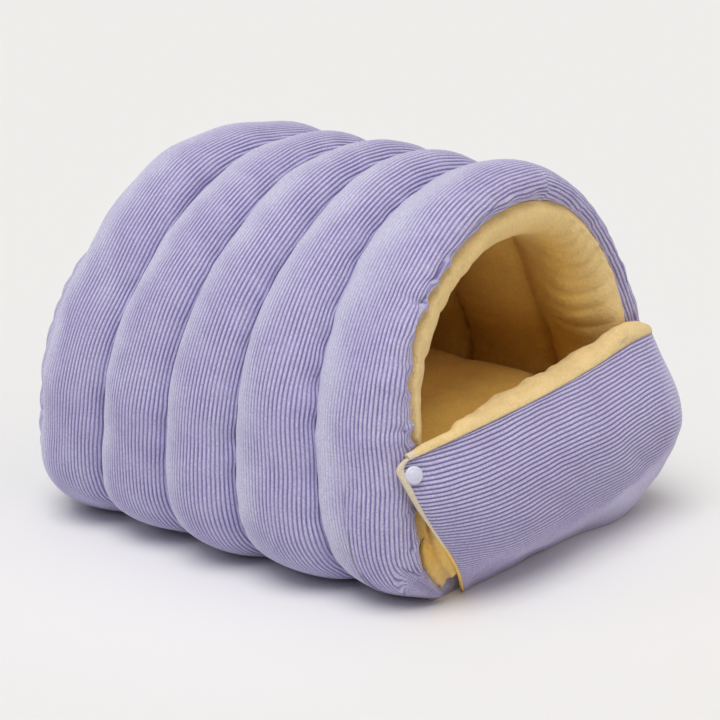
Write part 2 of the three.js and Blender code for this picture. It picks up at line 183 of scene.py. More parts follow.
def grid_normals(grid: Grid, outward: Callable[[Grid], Grid]) -> Grid:
    """Unit normals of a grid of points.

    Args:
        grid: the points.
        outward: gives for each point a direction that the normals face.
    """
    down = np.gradient(grid, axis=0)
    across = np.gradient(grid, axis=1)
    normal = np.cross(down, across)
    normal /= np.linalg.norm(normal, axis=2, keepdims=True) + 1e-9
    facing = np.sign((normal * outward(grid)).sum(axis=2, keepdims=True))
    facing[facing == 0] = 1.0
    return normal * facing


def distances(grid: Grid, axis: int) -> np.ndarray:
    """Returns how far along its row or column each point of a grid lies, in mm."""
    steps = np.linalg.norm(np.diff(grid, axis=axis), axis=2)
    total = np.cumsum(steps, axis=axis)
    pad = [(1, 0), (0, 0)] if axis == 0 else [(0, 0), (1, 0)]
    return np.pad(total, pad)


def face_outwards(draft: bmesh.types.BMesh) -> None:
    """Turns the faces of a closed body outwards."""
    bmesh.ops.recalc_face_normals(draft, faces=draft.faces)
    if draft.calc_volume(signed=True) < 0:
        bmesh.ops.reverse_faces(draft, faces=draft.faces)


class Sewing:
    """Collects the points, faces and point attributes of one closed piece and makes its mesh."""

    def __init__(self, name: str) -> None:
        """Starts an empty piece of that name."""
        self.name = name
        self.points: list[np.ndarray] = []
        self.faces: list[tuple[int, ...]] = []
        self.attributes: dict[str, list[tuple[int, np.ndarray]]] = {}
        self.count = 0

    def grid(self, grid: Grid, **attributes: np.ndarray) -> np.ndarray:
        """Adds a grid of points with its faces.

        Args:
            grid: the points, in mm.
            attributes: numbers for each point, kept on the mesh by name.

        Returns:
            The points' indices, in rows.
        """
        rows, columns = grid.shape[:2]
        index = np.arange(rows * columns).reshape(rows, columns) + self.count
        for name, values in attributes.items():
            self.attributes.setdefault(name, []).append((self.count, values.ravel()))
        self.points.append(grid.reshape(-1, 3))
        self.count += rows * columns
        self.join(index[:-1], index[1:])
        return index

    def join(self, low: np.ndarray, high: np.ndarray) -> None:
        """Adds quads between rows of indices: each row of low with the same row of high."""
        low, high = np.atleast_2d(low), np.atleast_2d(high)
        quads = np.stack([low[:, :-1], low[:, 1:], high[:, 1:], high[:, :-1]], axis=-1)
        self.faces.extend(map(tuple, quads.reshape(-1, 4).tolist()))

    def close(self, shown: np.ndarray, hidden: np.ndarray) -> None:
        """Closes a body between two grids of equal rows: strips at their sides and one face at each end.

        Args:
            shown: indices of the grid that shows.
            hidden: indices of the grid behind it, with as many rows.
        """
        for side in (0, -1):
            self.join(shown[:, side], hidden[:, side])
        wide, narrow = shown.shape[1] - 1, hidden.shape[1] - 1
        parts = narrow if wide % narrow == 0 else 1
        for end in (0, -1):
            for k in range(parts):
                front = shown[end][wide * k // parts : wide * (k + 1) // parts + 1]
                rear = hidden[end][narrow * k // parts : narrow * (k + 1) // parts + 1]
                self.faces.append(tuple([*front.tolist(), *rear[::-1].tolist()]))

    def cap(self, rings: np.ndarray) -> None:
        """Closes a tube of rings, whose first and last columns meet, with one face at each end."""
        self.faces.append(tuple(rings[0][:-1].tolist()))
        self.faces.append(tuple(rings[-1][:-1][::-1].tolist()))

    @staticmethod
    def place(points: np.ndarray) -> np.ndarray:
        """Returns points of the bed's own measure, in mm, as the frame's metres."""
        return (points - np.array([0.0, MIDDLE_Y, 0.0])) * MM

    def make(self, material: bpy.types.Material) -> bpy.types.Object:
        """Makes the mesh object, its faces pointing out, smooth and dressed.

        Args:
            material: its finish.

        Returns:
            The object, which stands at the origin.
        """
        mesh = bpy.data.meshes.new(self.name)
        mesh.from_pydata(self.place(np.concatenate(self.points)).tolist(), [], self.faces)
        for name, parts in self.attributes.items():
            values = np.zeros(self.count, np.float32)
            for start, part in parts:
                values[start : start + part.size] = part
            mesh.attributes.new(name, "FLOAT", "POINT").data.foreach_set("value", values)
        draft = bmesh.new()
        draft.from_mesh(mesh)
        face_outwards(draft)
        draft.to_mesh(mesh)
        draft.free()
        mesh.shade_smooth()
        mesh.materials.append(material)
        piece = bpy.data.objects.new(self.name, mesh)
        bpy.context.scene.collection.objects.link(piece)
        return piece


def linear(code: str) -> tuple[float, float, float, float]:
    """Returns an sRGB hex colour as linear red, green, blue and full alpha."""
    parts = [int(code[i : i + 2], 16) / 255 for i in (1, 3, 5)]
    lit = [p / 12.92 if p <= 0.04045 else ((p + 0.055) / 1.055) ** 2.4 for p in parts]
    return (*lit, 1.0)


def add_node(
    tree: bpy.types.NodeTree, kind: str, inputs: dict | None = None, **settings: Value
) -> bpy.types.Node:
    """Adds one node with its settings and links.

    Args:
        tree: the node tree.
        kind: the node's type name.
        inputs: for an input's name or number, its value or the socket that feeds it.
        settings: the node's own properties.

    Returns:
        The node.
    """
    node = tree.nodes.new(kind)
    for name, value in settings.items():
        setattr(node, name, value)
    for key, value in (inputs or {}).items():
        socket = node.inputs[key]
        if isinstance(value, bpy.types.NodeSocket):
            tree.links.new(value, socket)
        else:
            socket.default_value = value
    return node


def new_material(name: str) -> tuple[bpy.types.Material, bpy.types.NodeTree]:
    """Makes an empty node material and returns it with its tree."""
    material = bpy.data.materials.new(name)
    material.use_nodes = True
    material.node_tree.nodes.clear()
    return material, material.node_tree


def finish_surface(tree: bpy.types.NodeTree, shader: bpy.types.Node) -> None:
    """Adds the tree's output after its shader."""
    add_node(tree, "ShaderNodeOutputMaterial", {"Surface": shader.outputs[0]})


@dataclass(frozen=True)
class Corduroy:
    """Wide-wale cotton corduroy. Its cut pile is matte with a soft pale sheen on the ribs. The bottom of
    each groove is painted darker and bluer, a painted shade, and the side of each channel that the key
    light falls on is painted paler, a painted highlight. The pile shows as fine short streaks."""

    name: str = "cotton_corduroy_lilac"
    rib: str = "#C9C2E6"
    # the pale colour of random brushed patches and of the painted highlight on each channel's lit side
    brushed: str = "#D8D7F0"
    # painted shade: the colour at the bottom of each groove
    groove: str = "#6F65A2"
    sheen: str = "#F1EFF8"
    sheen_weight: float = 0.4
    pile_mm: float = 1.5
    patch_mm: float = 38.0
    pile_bump: float = 0.45

    def material(self) -> bpy.types.Material:
        """Returns the material.

        It reads the mesh's own attributes: groove, 1 at the bottom of a groove, where painted shade darkens
        the colour, and a second one, 1 where the pile lies flat and the colour is painted paler: on the
        channels that is their lit side, a painted highlight.
        """
        material, tree = new_material(self.name)
        place = add_node(tree, "ShaderNodeTexCoord").outputs["Object"]
        groove = add_node(tree, "ShaderNodeAttribute", attribute_name="groove").outputs["Fac"]
        patches = add_node(
            tree,
            "ShaderNodeTexNoise",
            {"Vector": place, "Scale": 1 / (self.patch_mm * MM), "Detail": 3.0, "Roughness": 0.6},
        )
        pile = add_node(
            tree,
            "ShaderNodeTexNoise",
            {"Vector": place, "Scale": 1 / (self.pile_mm * MM), "Detail": 3.0, "Roughness": 0.75},
        )
        brushed = add_node(
            tree,
            "ShaderNodeMapRange",
            {"Value": patches.outputs["Fac"], "From Min": 0.35, "From Max": 0.75, "To Max": 0.5},
        )
        # painted highlight: where the pile lies flat, on the channels their lit side, the colour is paler
        laid = add_node(tree, "ShaderNodeAttribute", attribute_name="laid").outputs["Fac"]
        both = add_node(
            tree, "ShaderNodeMath", {0: brushed.outputs["Result"], 1: laid}, operation="ADD", use_clamp=True
        )
        rib = add_node(
            tree,
            "ShaderNodeMix",
            {0: both.outputs[0], 6: linear(self.rib), 7: linear(self.brushed)},
            data_type="RGBA",
        )
        speck = add_node(
            tree,
            "ShaderNodeMapRange",
            {"Value": pile.outputs["Fac"], "From Min": 0.3, "From Max": 0.7, "To Min": 0.7, "To Max": 1.2},
        )
        streaked = add_node(
            tree,
            "ShaderNodeMix",
            {0: 1.0, 6: rib.outputs[2], 7: speck.outputs["Result"]},
            data_type="RGBA",
            blend_type="MULTIPLY",
        )
        # painted shade: the bottom of each groove is darkened towards the groove colour
        cloth = add_node(
            tree,
            "ShaderNodeMix",
            {0: groove, 6: streaked.outputs[2], 7: linear(self.groove)},
            data_type="RGBA",
        )
        bump = add_node(
            tree,
            "ShaderNodeBump",
            {"Height": pile.outputs["Fac"], "Strength": self.pile_bump, "Distance": 0.6 * MM},
        )
        shader = add_node(
            tree,
            "ShaderNodeBsdfPrincipled",
            {
                "Base Color": cloth.outputs[2],
                "Normal": bump.outputs["Normal"],
                "Roughness": 0.95,
                "Specular IOR Level": 0.15,
                "Sheen Weight": self.sheen_weight,
                "Sheen Roughness": 0.45,
                "Sheen Tint": linear(self.sheen),
            },
        )
        finish_surface(tree, shader)
        return material


@dataclass(frozen=True)
class Fleece:
    """Short-pile polyester fleece: a warm yellow nap, matte, with a soft sheen where it is seen edge on.
    The nap lies in small clumps that show as faint mottling. Inside the cave it is painted a deeper,
    more saturated honey as painted shade, and it is nearly white along a cut edge."""

    name: str = "polyester_fleece_yellow"
    nap: str = "#F8DB9F"
    cut: str = "#EADCC3"
    # painted shade: the deeper honey of the fleece inside the cave
    inner: str = "#FED272"
    shade: float = 0.86
    sheen: str = "#FFF4DF"
    sheen_weight: float = 0.25
    clump_mm: float = 2.4
    fibre_mm: float = 0.7
    patch_mm: float = 30.0

    def material(self) -> bpy.types.Material:
        """Returns the material."""
        material, tree = new_material(self.name)
        place = add_node(tree, "ShaderNodeTexCoord").outputs["Object"]
        noises = [
            add_node(
                tree,
                "ShaderNodeTexNoise",
                {"Vector": place, "Scale": 1 / (size * MM), "Detail": 2.0, "Roughness": 0.65},
            ).outputs["Fac"]
            for size in (self.patch_mm, self.clump_mm, self.fibre_mm)
        ]
        mottle = add_node(tree, "ShaderNodeMath", {0: noises[0], 1: noises[1]}, operation="ADD")
        shade = add_node(
            tree,
            "ShaderNodeMapRange",
            {"Value": mottle.outputs[0], "From Min": 0.75, "From Max": 1.2, "To Min": self.shade},
        )
        # painted shade: where inside is 1, the nap takes the deeper honey of the cave's shade
        inside = add_node(tree, "ShaderNodeAttribute", attribute_name="inside").outputs["Fac"]
        edge = add_node(tree, "ShaderNodeAttribute", attribute_name="cut").outputs["Fac"]
        plain = add_node(
            tree,
            "ShaderNodeMix",
            {0: inside, 6: linear(self.nap), 7: linear(self.inner)},
            data_type="RGBA",
        )
        trimmed = add_node(
            tree,
            "ShaderNodeMix",
            {0: edge, 6: plain.outputs[2], 7: linear(self.cut)},
            data_type="RGBA",
        )
        nap = add_node(
            tree,
            "ShaderNodeMix",
            {0: 1.0, 6: trimmed.outputs[2], 7: shade.outputs["Result"]},
            data_type="RGBA",
            blend_type="MULTIPLY",
        )
        clumps = add_node(
            tree,
            "ShaderNodeBump",
            {"Height": noises[1], "Strength": 0.6, "Distance": 1.8 * MM},
        )
        fibres = add_node(
            tree,
            "ShaderNodeBump",
            {"Height": noises[2], "Strength": 0.5, "Distance": 0.7 * MM, "Normal": clumps.outputs[0]},
        )
        shader = add_node(
            tree,
            "ShaderNodeBsdfPrincipled",
            {
                "Base Color": nap.outputs[2],
                "Normal": fibres.outputs["Normal"],
                "Roughness": 1.0,
                "Specular IOR Level": 0.1,
                "Sheen Weight": self.sheen_weight,
                "Sheen Roughness": 0.5,
                "Sheen Tint": linear(self.sheen),
            },
        )
        finish_surface(tree, shader)
        return material


@dataclass(frozen=True)
class SnapPlastic:
    """Injection-moulded acetal snap: nearly white with a lilac cast, smooth with a soft gloss."""

    name: str = "moulded_acetal_snap"
    colour: str = "#D6D8EC"
    roughness: float = 0.38

    def material(self) -> bpy.types.Material:
        """Returns the material."""
        material, tree = new_material(self.name)
        place = add_node(tree, "ShaderNodeTexCoord").outputs["Object"]
        flow = add_node(tree, "ShaderNodeTexNoise", {"Vector": place, "Scale": 900.0, "Detail": 2.0})
        bump = add_node(
            tree,
            "ShaderNodeBump",
            {"Height": flow.outputs["Fac"], "Strength": 0.04, "Distance": 0.2 * MM},
        )
        shader = add_node(
            tree,
            "ShaderNodeBsdfPrincipled",
            {
                "Base Color": linear(self.colour),
                "Normal": bump.outputs["Normal"],
                "Roughness": self.roughness,
                "IOR": 1.48,
            },
        )
        finish_surface(tree, shader)
        return material


class WaleTree:
    """A Geometry Nodes tree that sinks the grooves of corduroy between its ribs.

    It reads the mesh's attributes across, the distance over the ribs in mm, and depth, how deep the grooves
    are as a share of the full depth. It leaves the attribute groove, 1 at the bottom of a full groove.
    """

    INPUTS = (("Pitch", WALE_PITCH), ("Height", WALE_HEIGHT * MM), ("Narrowness", 2.0))

    def __init__(self) -> None:
        """Builds the tree."""
        self.tree = bpy.data.node_groups.new("corduroy_wales", "GeometryNodeTree")
        face = self.tree.interface
        face.new_socket("Geometry", in_out="INPUT", socket_type="NodeSocketGeometry")
        self.ids = {}
        for name, value in self.INPUTS:
            socket = face.new_socket(name, in_out="INPUT", socket_type="NodeSocketFloat")
            socket.default_value = value
            self.ids[name] = socket.identifier
        dress = face.new_socket("Material", in_out="INPUT", socket_type="NodeSocketMaterial")
        self.ids["Material"] = dress.identifier
        face.new_socket("Geometry", in_out="OUTPUT", socket_type="NodeSocketGeometry")
        self._build()

    def _maths(self, operation: str, first: Value, second: Value = 0.0) -> bpy.types.NodeSocket:
        """Returns the result of one operation on two values or sockets."""
        inputs = {0: first, 1: second}
        return add_node(self.tree, "ShaderNodeMath", inputs, operation=operation).outputs[0]

    def _build(self) -> None:
        """Adds the nodes: the groove's profile, the sunk points, the kept attribute and the finish."""
        tree = self.tree
        given = add_node(tree, "NodeGroupInput").outputs
        across = add_node(tree, "GeometryNodeInputNamedAttribute", {"Name": "across"}).outputs[0]
        depth = add_node(tree, "GeometryNodeInputNamedAttribute", {"Name": "depth"}).outputs[0]
        turn = self._maths("MULTIPLY", self._maths("DIVIDE", across, given["Pitch"]), 2 * math.pi)
        wave = self._maths("MULTIPLY_ADD", self._maths("COSINE", turn), 0.5)
        wave.node.inputs[2].default_value = 0.5
        groove = self._maths("MULTIPLY", self._maths("POWER", wave, given["Narrowness"]), depth)
        sink = self._maths("MULTIPLY", self._maths("MULTIPLY", groove, given["Height"]), -1.0)
        normal = add_node(tree, "GeometryNodeInputNormal").outputs[0]
        offset = add_node(
            tree, "ShaderNodeVectorMath", {0: normal, "Scale": sink}, operation="SCALE"
        ).outputs[0]
        marked = add_node(
            tree,
            "GeometryNodeStoreNamedAttribute",
            {"Geometry": given["Geometry"], "Name": "groove", "Value": groove},
        )
        sunk = add_node(
            tree, "GeometryNodeSetPosition", {"Geometry": marked.outputs[0], "Offset": offset}
        )
        real = add_node(tree, "GeometryNodeRealizeInstances", {"Geometry": sunk.outputs[0]})
        dressed = add_node(
            tree,
            "GeometryNodeSetMaterial",
            {"Geometry": real.outputs[0], "Material": given["Material"]},
        )
        add_node(tree, "NodeGroupOutput", {0: dressed.outputs[0]})

    def rib(self, piece: bpy.types.Object, material: bpy.types.Material) -> None:
        """Gives a piece its ribs as plain mesh.

        Args:
            piece: a mesh with the attributes across and depth.
            material: the corduroy.
        """
        modifier = piece.modifiers.new("wales", "NODES")
        modifier.node_group = self.tree
        for name, value in self.INPUTS:
            modifier[self.ids[name]] = value
        modifier[self.ids["Material"]] = material
        apply_modifiers(piece)


def apply_modifiers(piece: bpy.types.Object) -> None:
    """Turns a piece with its modifiers into a plain mesh and removes them."""
    seen = piece.evaluated_get(bpy.context.evaluated_depsgraph_get())
    mesh = bpy.data.meshes.new_from_object(seen)
    piece.modifiers.clear()
    piece.data = mesh
    mesh.name = piece.name


def read_points(mesh: bpy.types.Mesh) -> np.ndarray:
    """Returns a mesh's points, in metres."""
    flat = np.zeros(len(mesh.vertices) * 3)
    mesh.vertices.foreach_get("co", flat)
    return flat.reshape(-1, 3)


def write_points(mesh: bpy.types.Mesh, points: np.ndarray) -> None:
    """Moves a mesh's points, in metres."""
    mesh.vertices.foreach_set("co", points.ravel())


@dataclass(frozen=True)
class Section:
    """One arched section across the tunnel, in mm."""

    half_width: float
    height: float
    y: float
    lean: float
    floor: float = 0.0
    sink: float = 0.0
    round: float = ARCH_ROUND
    point: float = 0.0
    upright: bool = False


@dataclass(frozen=True)
class Seam:
    """A seam round the tunnel: its place along it and its lean, in mm."""

    y: float
    lean: float


@dataclass(frozen=True)
class Crest:
    """The highest section of a channel."""

    half_width: float
    height: float
    round: float = ARCH_ROUND
    point: float = 0.0


def arch_points(runs: np.ndarray, sections: Sequence[Section]) -> Grid:
    """Points of arched sections.

    Args:
        runs: places round the arch, from -1 at the left foot over 0 at the top to 1 at the right foot.
        sections: the sections.

    Returns:
        A row of points for each run and a column for each section.
    """
    fields = ("half_width", "height", "y", "lean", "floor", "sink", "round", "point", "upright")
    width, height, y, lean, floor, sink, round_, point, upright = (
        np.array([getattr(s, name) for s in sections], float)[None, :] for name in fields
    )
    run = np.asarray(runs, float)[:, None]
    angle = np.clip(run / SHOULDER_SHARE, -1, 1) * math.pi / 2
    diagonal = np.sin(2 * np.abs(angle))
    swell = 1 + round_ * diagonal**2 + point * diagonal * np.sin(4 * np.abs(angle))
    x_high = width * np.sin(angle) * swell
    z_high = SHOULDER_HEIGHT + (height - SHOULDER_HEIGHT) * np.cos(angle) * swell
    last = np.arccos((FOOT_X / width) ** (FOOT_POWER / 2))
    low = np.clip((np.abs(run) - SHOULDER_SHARE) / (1 - SHOULDER_SHARE), 0, 1) * last
    fall = np.sin(low) ** (2 / FOOT_POWER)
    x_low = np.sign(run) * width * np.cos(low) ** (2 / FOOT_POWER)
    z_low = np.maximum(floor, SHOULDER_HEIGHT - (SHOULDER_HEIGHT - floor) * fall - sink * fall**8)
    above = np.abs(run) <= SHOULDER_SHARE
    x = np.where(above, x_high, x_low)
    z = np.where(above, z_high, z_low)
    rise = z - TILT_HEIGHT
    rise = np.where(upright > 0, np.maximum(rise, 0), rise)
    return np.stack([x, y + lean * rise / TILT_SPAN, z], axis=-1)


def from_axis(grid: Grid) -> Grid:
    """Returns for each point the direction away from the tunnel's middle line."""
    away = grid.copy()
    away[..., 1] = 0.0
    away[..., 2] -= SHOULDER_HEIGHT
    return away


@dataclass(frozen=True)
class Tunnel:
    """The tunnel's own measure, which its shell, lining, back and cushion share, in mm."""

    seams: tuple[Seam, ...] = (Seam(179, -31), Seam(108, -30), Seam(38, -20), Seam(-29, -8), Seam(-98, 15))
    crests: tuple[Crest, ...] = (
        Crest(194, 310, -0.015, 0.03),
        Crest(192, 306),
        Crest(192, 304),
        Crest(187, 299),
        Crest(174, 294),
    )
    front_crest: Seam = Seam(-132, 12)
    front_depth: float = 38.0
    front_side_drop: float = 24.0
    front_top_drop: float = 18.0
    front_turn: float = 120.0
    mouth: Section = Section(0, 0, 0, 16, round=0.07, point=-0.04)
    lip: tuple[Section, ...] = (
        Section(134, 259, -169, 16, round=0.07, point=-0.04, upright=True),
        Section(128, 249, -166, 16, round=0.05, point=-0.02, upright=True),
        Section(123, 241, -155, 16, round=0.03, point=0.0, upright=True),
        Section(120, 237, -138, 15, round=0.0, point=0.04, upright=True),
        Section(124, 243, -113, 15, round=-0.03, point=0.07, upright=True),
    )
    lining_seams: tuple[Seam, ...] = (
        Seam(179, -31),
        Seam(114, -28),
        Seam(52, -18),
        Seam(-12, -6),
        Seam(-98, 15),
    )
    lining_section: Section = Section(138, 254, 0, 0, floor=22, round=-0.05, point=0.08)
    lining_swell: float = 17.0
    wall_back: Section = Section(155, 270, 179, -31)
    wall_front: Section = Section(145, 268, -150, 16)
    pad_height: float = 20.0
    settled: tuple[tuple[float, float], ...] = (
        (-0.82, 0.0),
        (-0.76, 1.5),
        (-0.70, 3.0),
        (-0.62, 3.2),
        (-0.55, 2.2),
        (-0.45, 0.0),
        (-0.30, 0.0),
        (-0.20, 1.5),
        (-0.05, 2.0),
        (0.00, 2.5),
        (0.08, 4.0),
        (0.14, 4.8),
        (0.20, 4.8),
        (0.26, 3.0),
        (0.32, 0.0),
        (0.39, -3.8),
        (0.48, -5.4),
        (0.55, -4.8),
        (0.61, -2.5),
        (0.68, 0.0),
    )
    settled_from: tuple[float, float] = (-98.0, -132.0)
    hem_wave: float = 0.4
    hem_from: tuple[float, float] = (-146.0, -164.0)
    hem_waves: tuple[tuple[float, float, float], ...] = (
        (1.0, 67.0, 0.0),
        (1.0, 103.0, 1.7),
        (0.5, 171.0, 0.6),
    )

    def groove(self, seam: int) -> Crest:
        """Returns the bottom of the groove at a seam, below the mean crest of its two channels."""
        before, after = self.crests[max(seam - 1, 0)], self.crests[seam]
        return Crest(
            (before.half_width + after.half_width) / 2 - GROOVE_DEPTH,
            (before.height + after.height) / 2 - GROOVE_DEPTH,
        )

    def channel(self, index: int, turn: float) -> Section:
        """One outer section of a channel.

        Args:
            index: the channel, from the back.
            turn: degrees from 0 at its back seam to 180 at its front seam.
        """
        crest = self.crests[index]
        groove = self.groove(index if turn <= 90 else index + 1)
        angle = math.radians(turn)
        drop = 1 - math.sin(angle)
        share = (1 - math.cos(angle)) / 2
        back = self.seams[index]
        if index + 1 < len(self.seams):
            front = self.seams[index + 1]
        else:
            front = Seam(2 * self.front_crest.y - back.y, 2 * self.front_crest.lean - back.lean)
        return Section(
            mix(crest.half_width, groove.half_width, drop),
            mix(crest.height, groove.height, drop),
            mix(back.y, front.y, share),
            mix(back.lean, front.lean, share),
            floor=GROOVE_LIFT * GROOVE_DEPTH * drop,
            sink=FOOT_SINK,
            round=crest.round,
            point=crest.point,
        )

    def front(self, turn: float) -> Section:
        """Returns a section of the front channel's face, turn degrees past its crest."""
        crest = self.crests[-1]
        angle = math.radians(turn)
        share = turn / self.front_turn
        return Section(
            crest.half_width - self.front_side_drop * (1 - math.cos(angle)),
            crest.height - self.front_top_drop * (1 - math.cos(angle)),
            self.front_crest.y - self.front_depth * math.sin(angle),
            mix(self.front_crest.lean, self.mouth.lean, share),
            sink=FOOT_SINK * (1 - share),
            round=mix(ARCH_ROUND, self.mouth.round, share),
            point=mix(0.0, self.mouth.point, share),
            upright=True,
        )

    def outside(self, index: int, steps: int) -> list[Section]:
        """Returns a channel's outer sections, back to front, in about that many steps."""
        if index + 1 < len(self.crests):
            return [self.channel(index, 180.0 * k / steps) for k in range(steps + 1)]
        behind = steps // 3
        before = [self.channel(index, 90.0 * k / behind) for k in range(behind)]
        ahead = steps - behind
        return before + [self.front(self.front_turn * k / ahead) for k in range(ahead + 1)]

    def wall(self, share: float, inset: float) -> Section:
        """Returns the face between filling and fleece, at a share of the way to the front."""
        back, front = self.wall_back, self.wall_front
        return Section(
            mix(back.half_width, front.half_width, share) - inset,
            mix(back.height, front.height, share) - inset,
            mix(back.y, front.y, share) + inset * share / 2,
            mix(back.lean, front.lean, share),
            floor=WALL_FLOOR + inset,
            round=mix(0.0, self.mouth.round, share),
            point=mix(0.0, self.mouth.point, share),
        )

    def wall_share(self, y: float) -> float:
        """Returns how far along the wall a place along the tunnel lies."""
        return min(max((self.wall_back.y - y) / (self.wall_back.y - self.wall_front.y), 0.0), 1.0)

    def inside(self, channel: int, steps: int) -> list[Section]:
        """Returns one channel of the lining between its seams, back to front."""
        back, front = self.lining_seams[channel], self.lining_seams[channel + 1]
        made = []
        for k in range(steps + 1):
            angle = math.pi * k / steps
            share = (1 - math.cos(angle)) / 2
            swell = self.lining_swell * math.sin(angle)
            made.append(
                replace(
                    self.lining_section,
                    half_width=self.lining_section.half_width - swell,
                    height=self.lining_section.height - swell,
                    y=mix(back.y, front.y, share),
                    lean=mix(back.lean, front.lean, share),
                )
            )
        return made

    def mouth_lip(self, steps: int) -> list[Section]:
        """Returns the fleece from the front seam of the lining over the lip to the mouth's seam."""
        last = self.lining_seams[-1]
        start = replace(self.lining_section, y=last.y, lean=last.lean)
        seam = self.front(self.front_turn)
        end = replace(
            seam,
            half_width=seam.half_width - WALL_GAP,
            height=seam.height - WALL_GAP,
            y=seam.y + WALL_GAP / 2,
            sink=0.0,
        )
        stops = [start, *reversed(self.lip), end]
        names = ("half_width", "height", "y", "lean", "round", "point")
        table = np.array([[getattr(s, name) for name in names] for s in stops])
        smooth = curve_weights(len(stops), np.linspace(0, 1, steps + 1)) @ table
        return [
            Section(w, h, y, lean, floor=self.pad_height + LINING_LIFT, round=r, point=p, upright=True)
            for w, h, y, lean, r, p in smooth.tolist()
        ]

    def settle(self, grid: Grid, runs: np.ndarray) -> Grid:
        """Moves the cloth near the mouth to where the filled bed's shoulders have settled.

        Args:
            grid: points, one row for each run.
            runs: the rows' places round the arch.

        Returns:
            The moved points. The shell and the lining move alike, so their seam stays shut.
        """
        places, moves = np.array(self.settled).T
        move = np.interp(runs, places, moves, left=0.0, right=0.0)
        wave = sum(size * np.sin(rate * runs + start) for size, rate, start in self.hem_waves)
        y = grid[..., 1]
        near = smooth_step(*self.settled_from, y)
        hem = smooth_step(*self.hem_from, y) * self.hem_wave * wave[:, None]
        away = from_axis(grid)
        away /= np.linalg.norm(away, axis=2, keepdims=True)
        return grid + away * (move[:, None] * near + hem)[..., None]

    def even_runs(self, section: Section, count: int) -> np.ndarray:
        """Returns count + 1 places round the arch that lie evenly along a section."""
        dense = np.linspace(-1, 1, 4001)
        line = arch_points(dense, [section])
        along = distances(line, 0)[:, 0]
        return np.interp(np.linspace(0, along[-1], count + 1), along, dense)


def dress(piece: bpy.types.Object, kind: ClothKind, node: str, fill: float | None) -> None:
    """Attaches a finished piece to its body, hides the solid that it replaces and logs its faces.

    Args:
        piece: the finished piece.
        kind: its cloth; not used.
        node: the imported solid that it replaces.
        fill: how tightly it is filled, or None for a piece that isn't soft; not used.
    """
    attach(piece, BODY)
    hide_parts(node)
    LOG.info("%s: %d faces", piece.name, len(piece.data.polygons))


@dataclass(frozen=True)
class Pleat:
    """A small fold in the cloth at the mouth's seam: its place round the arch, and sizes in mm."""

    run: float
    depth: float
    width: float
    reach: float
    jog: float
    slope: float = 0.12


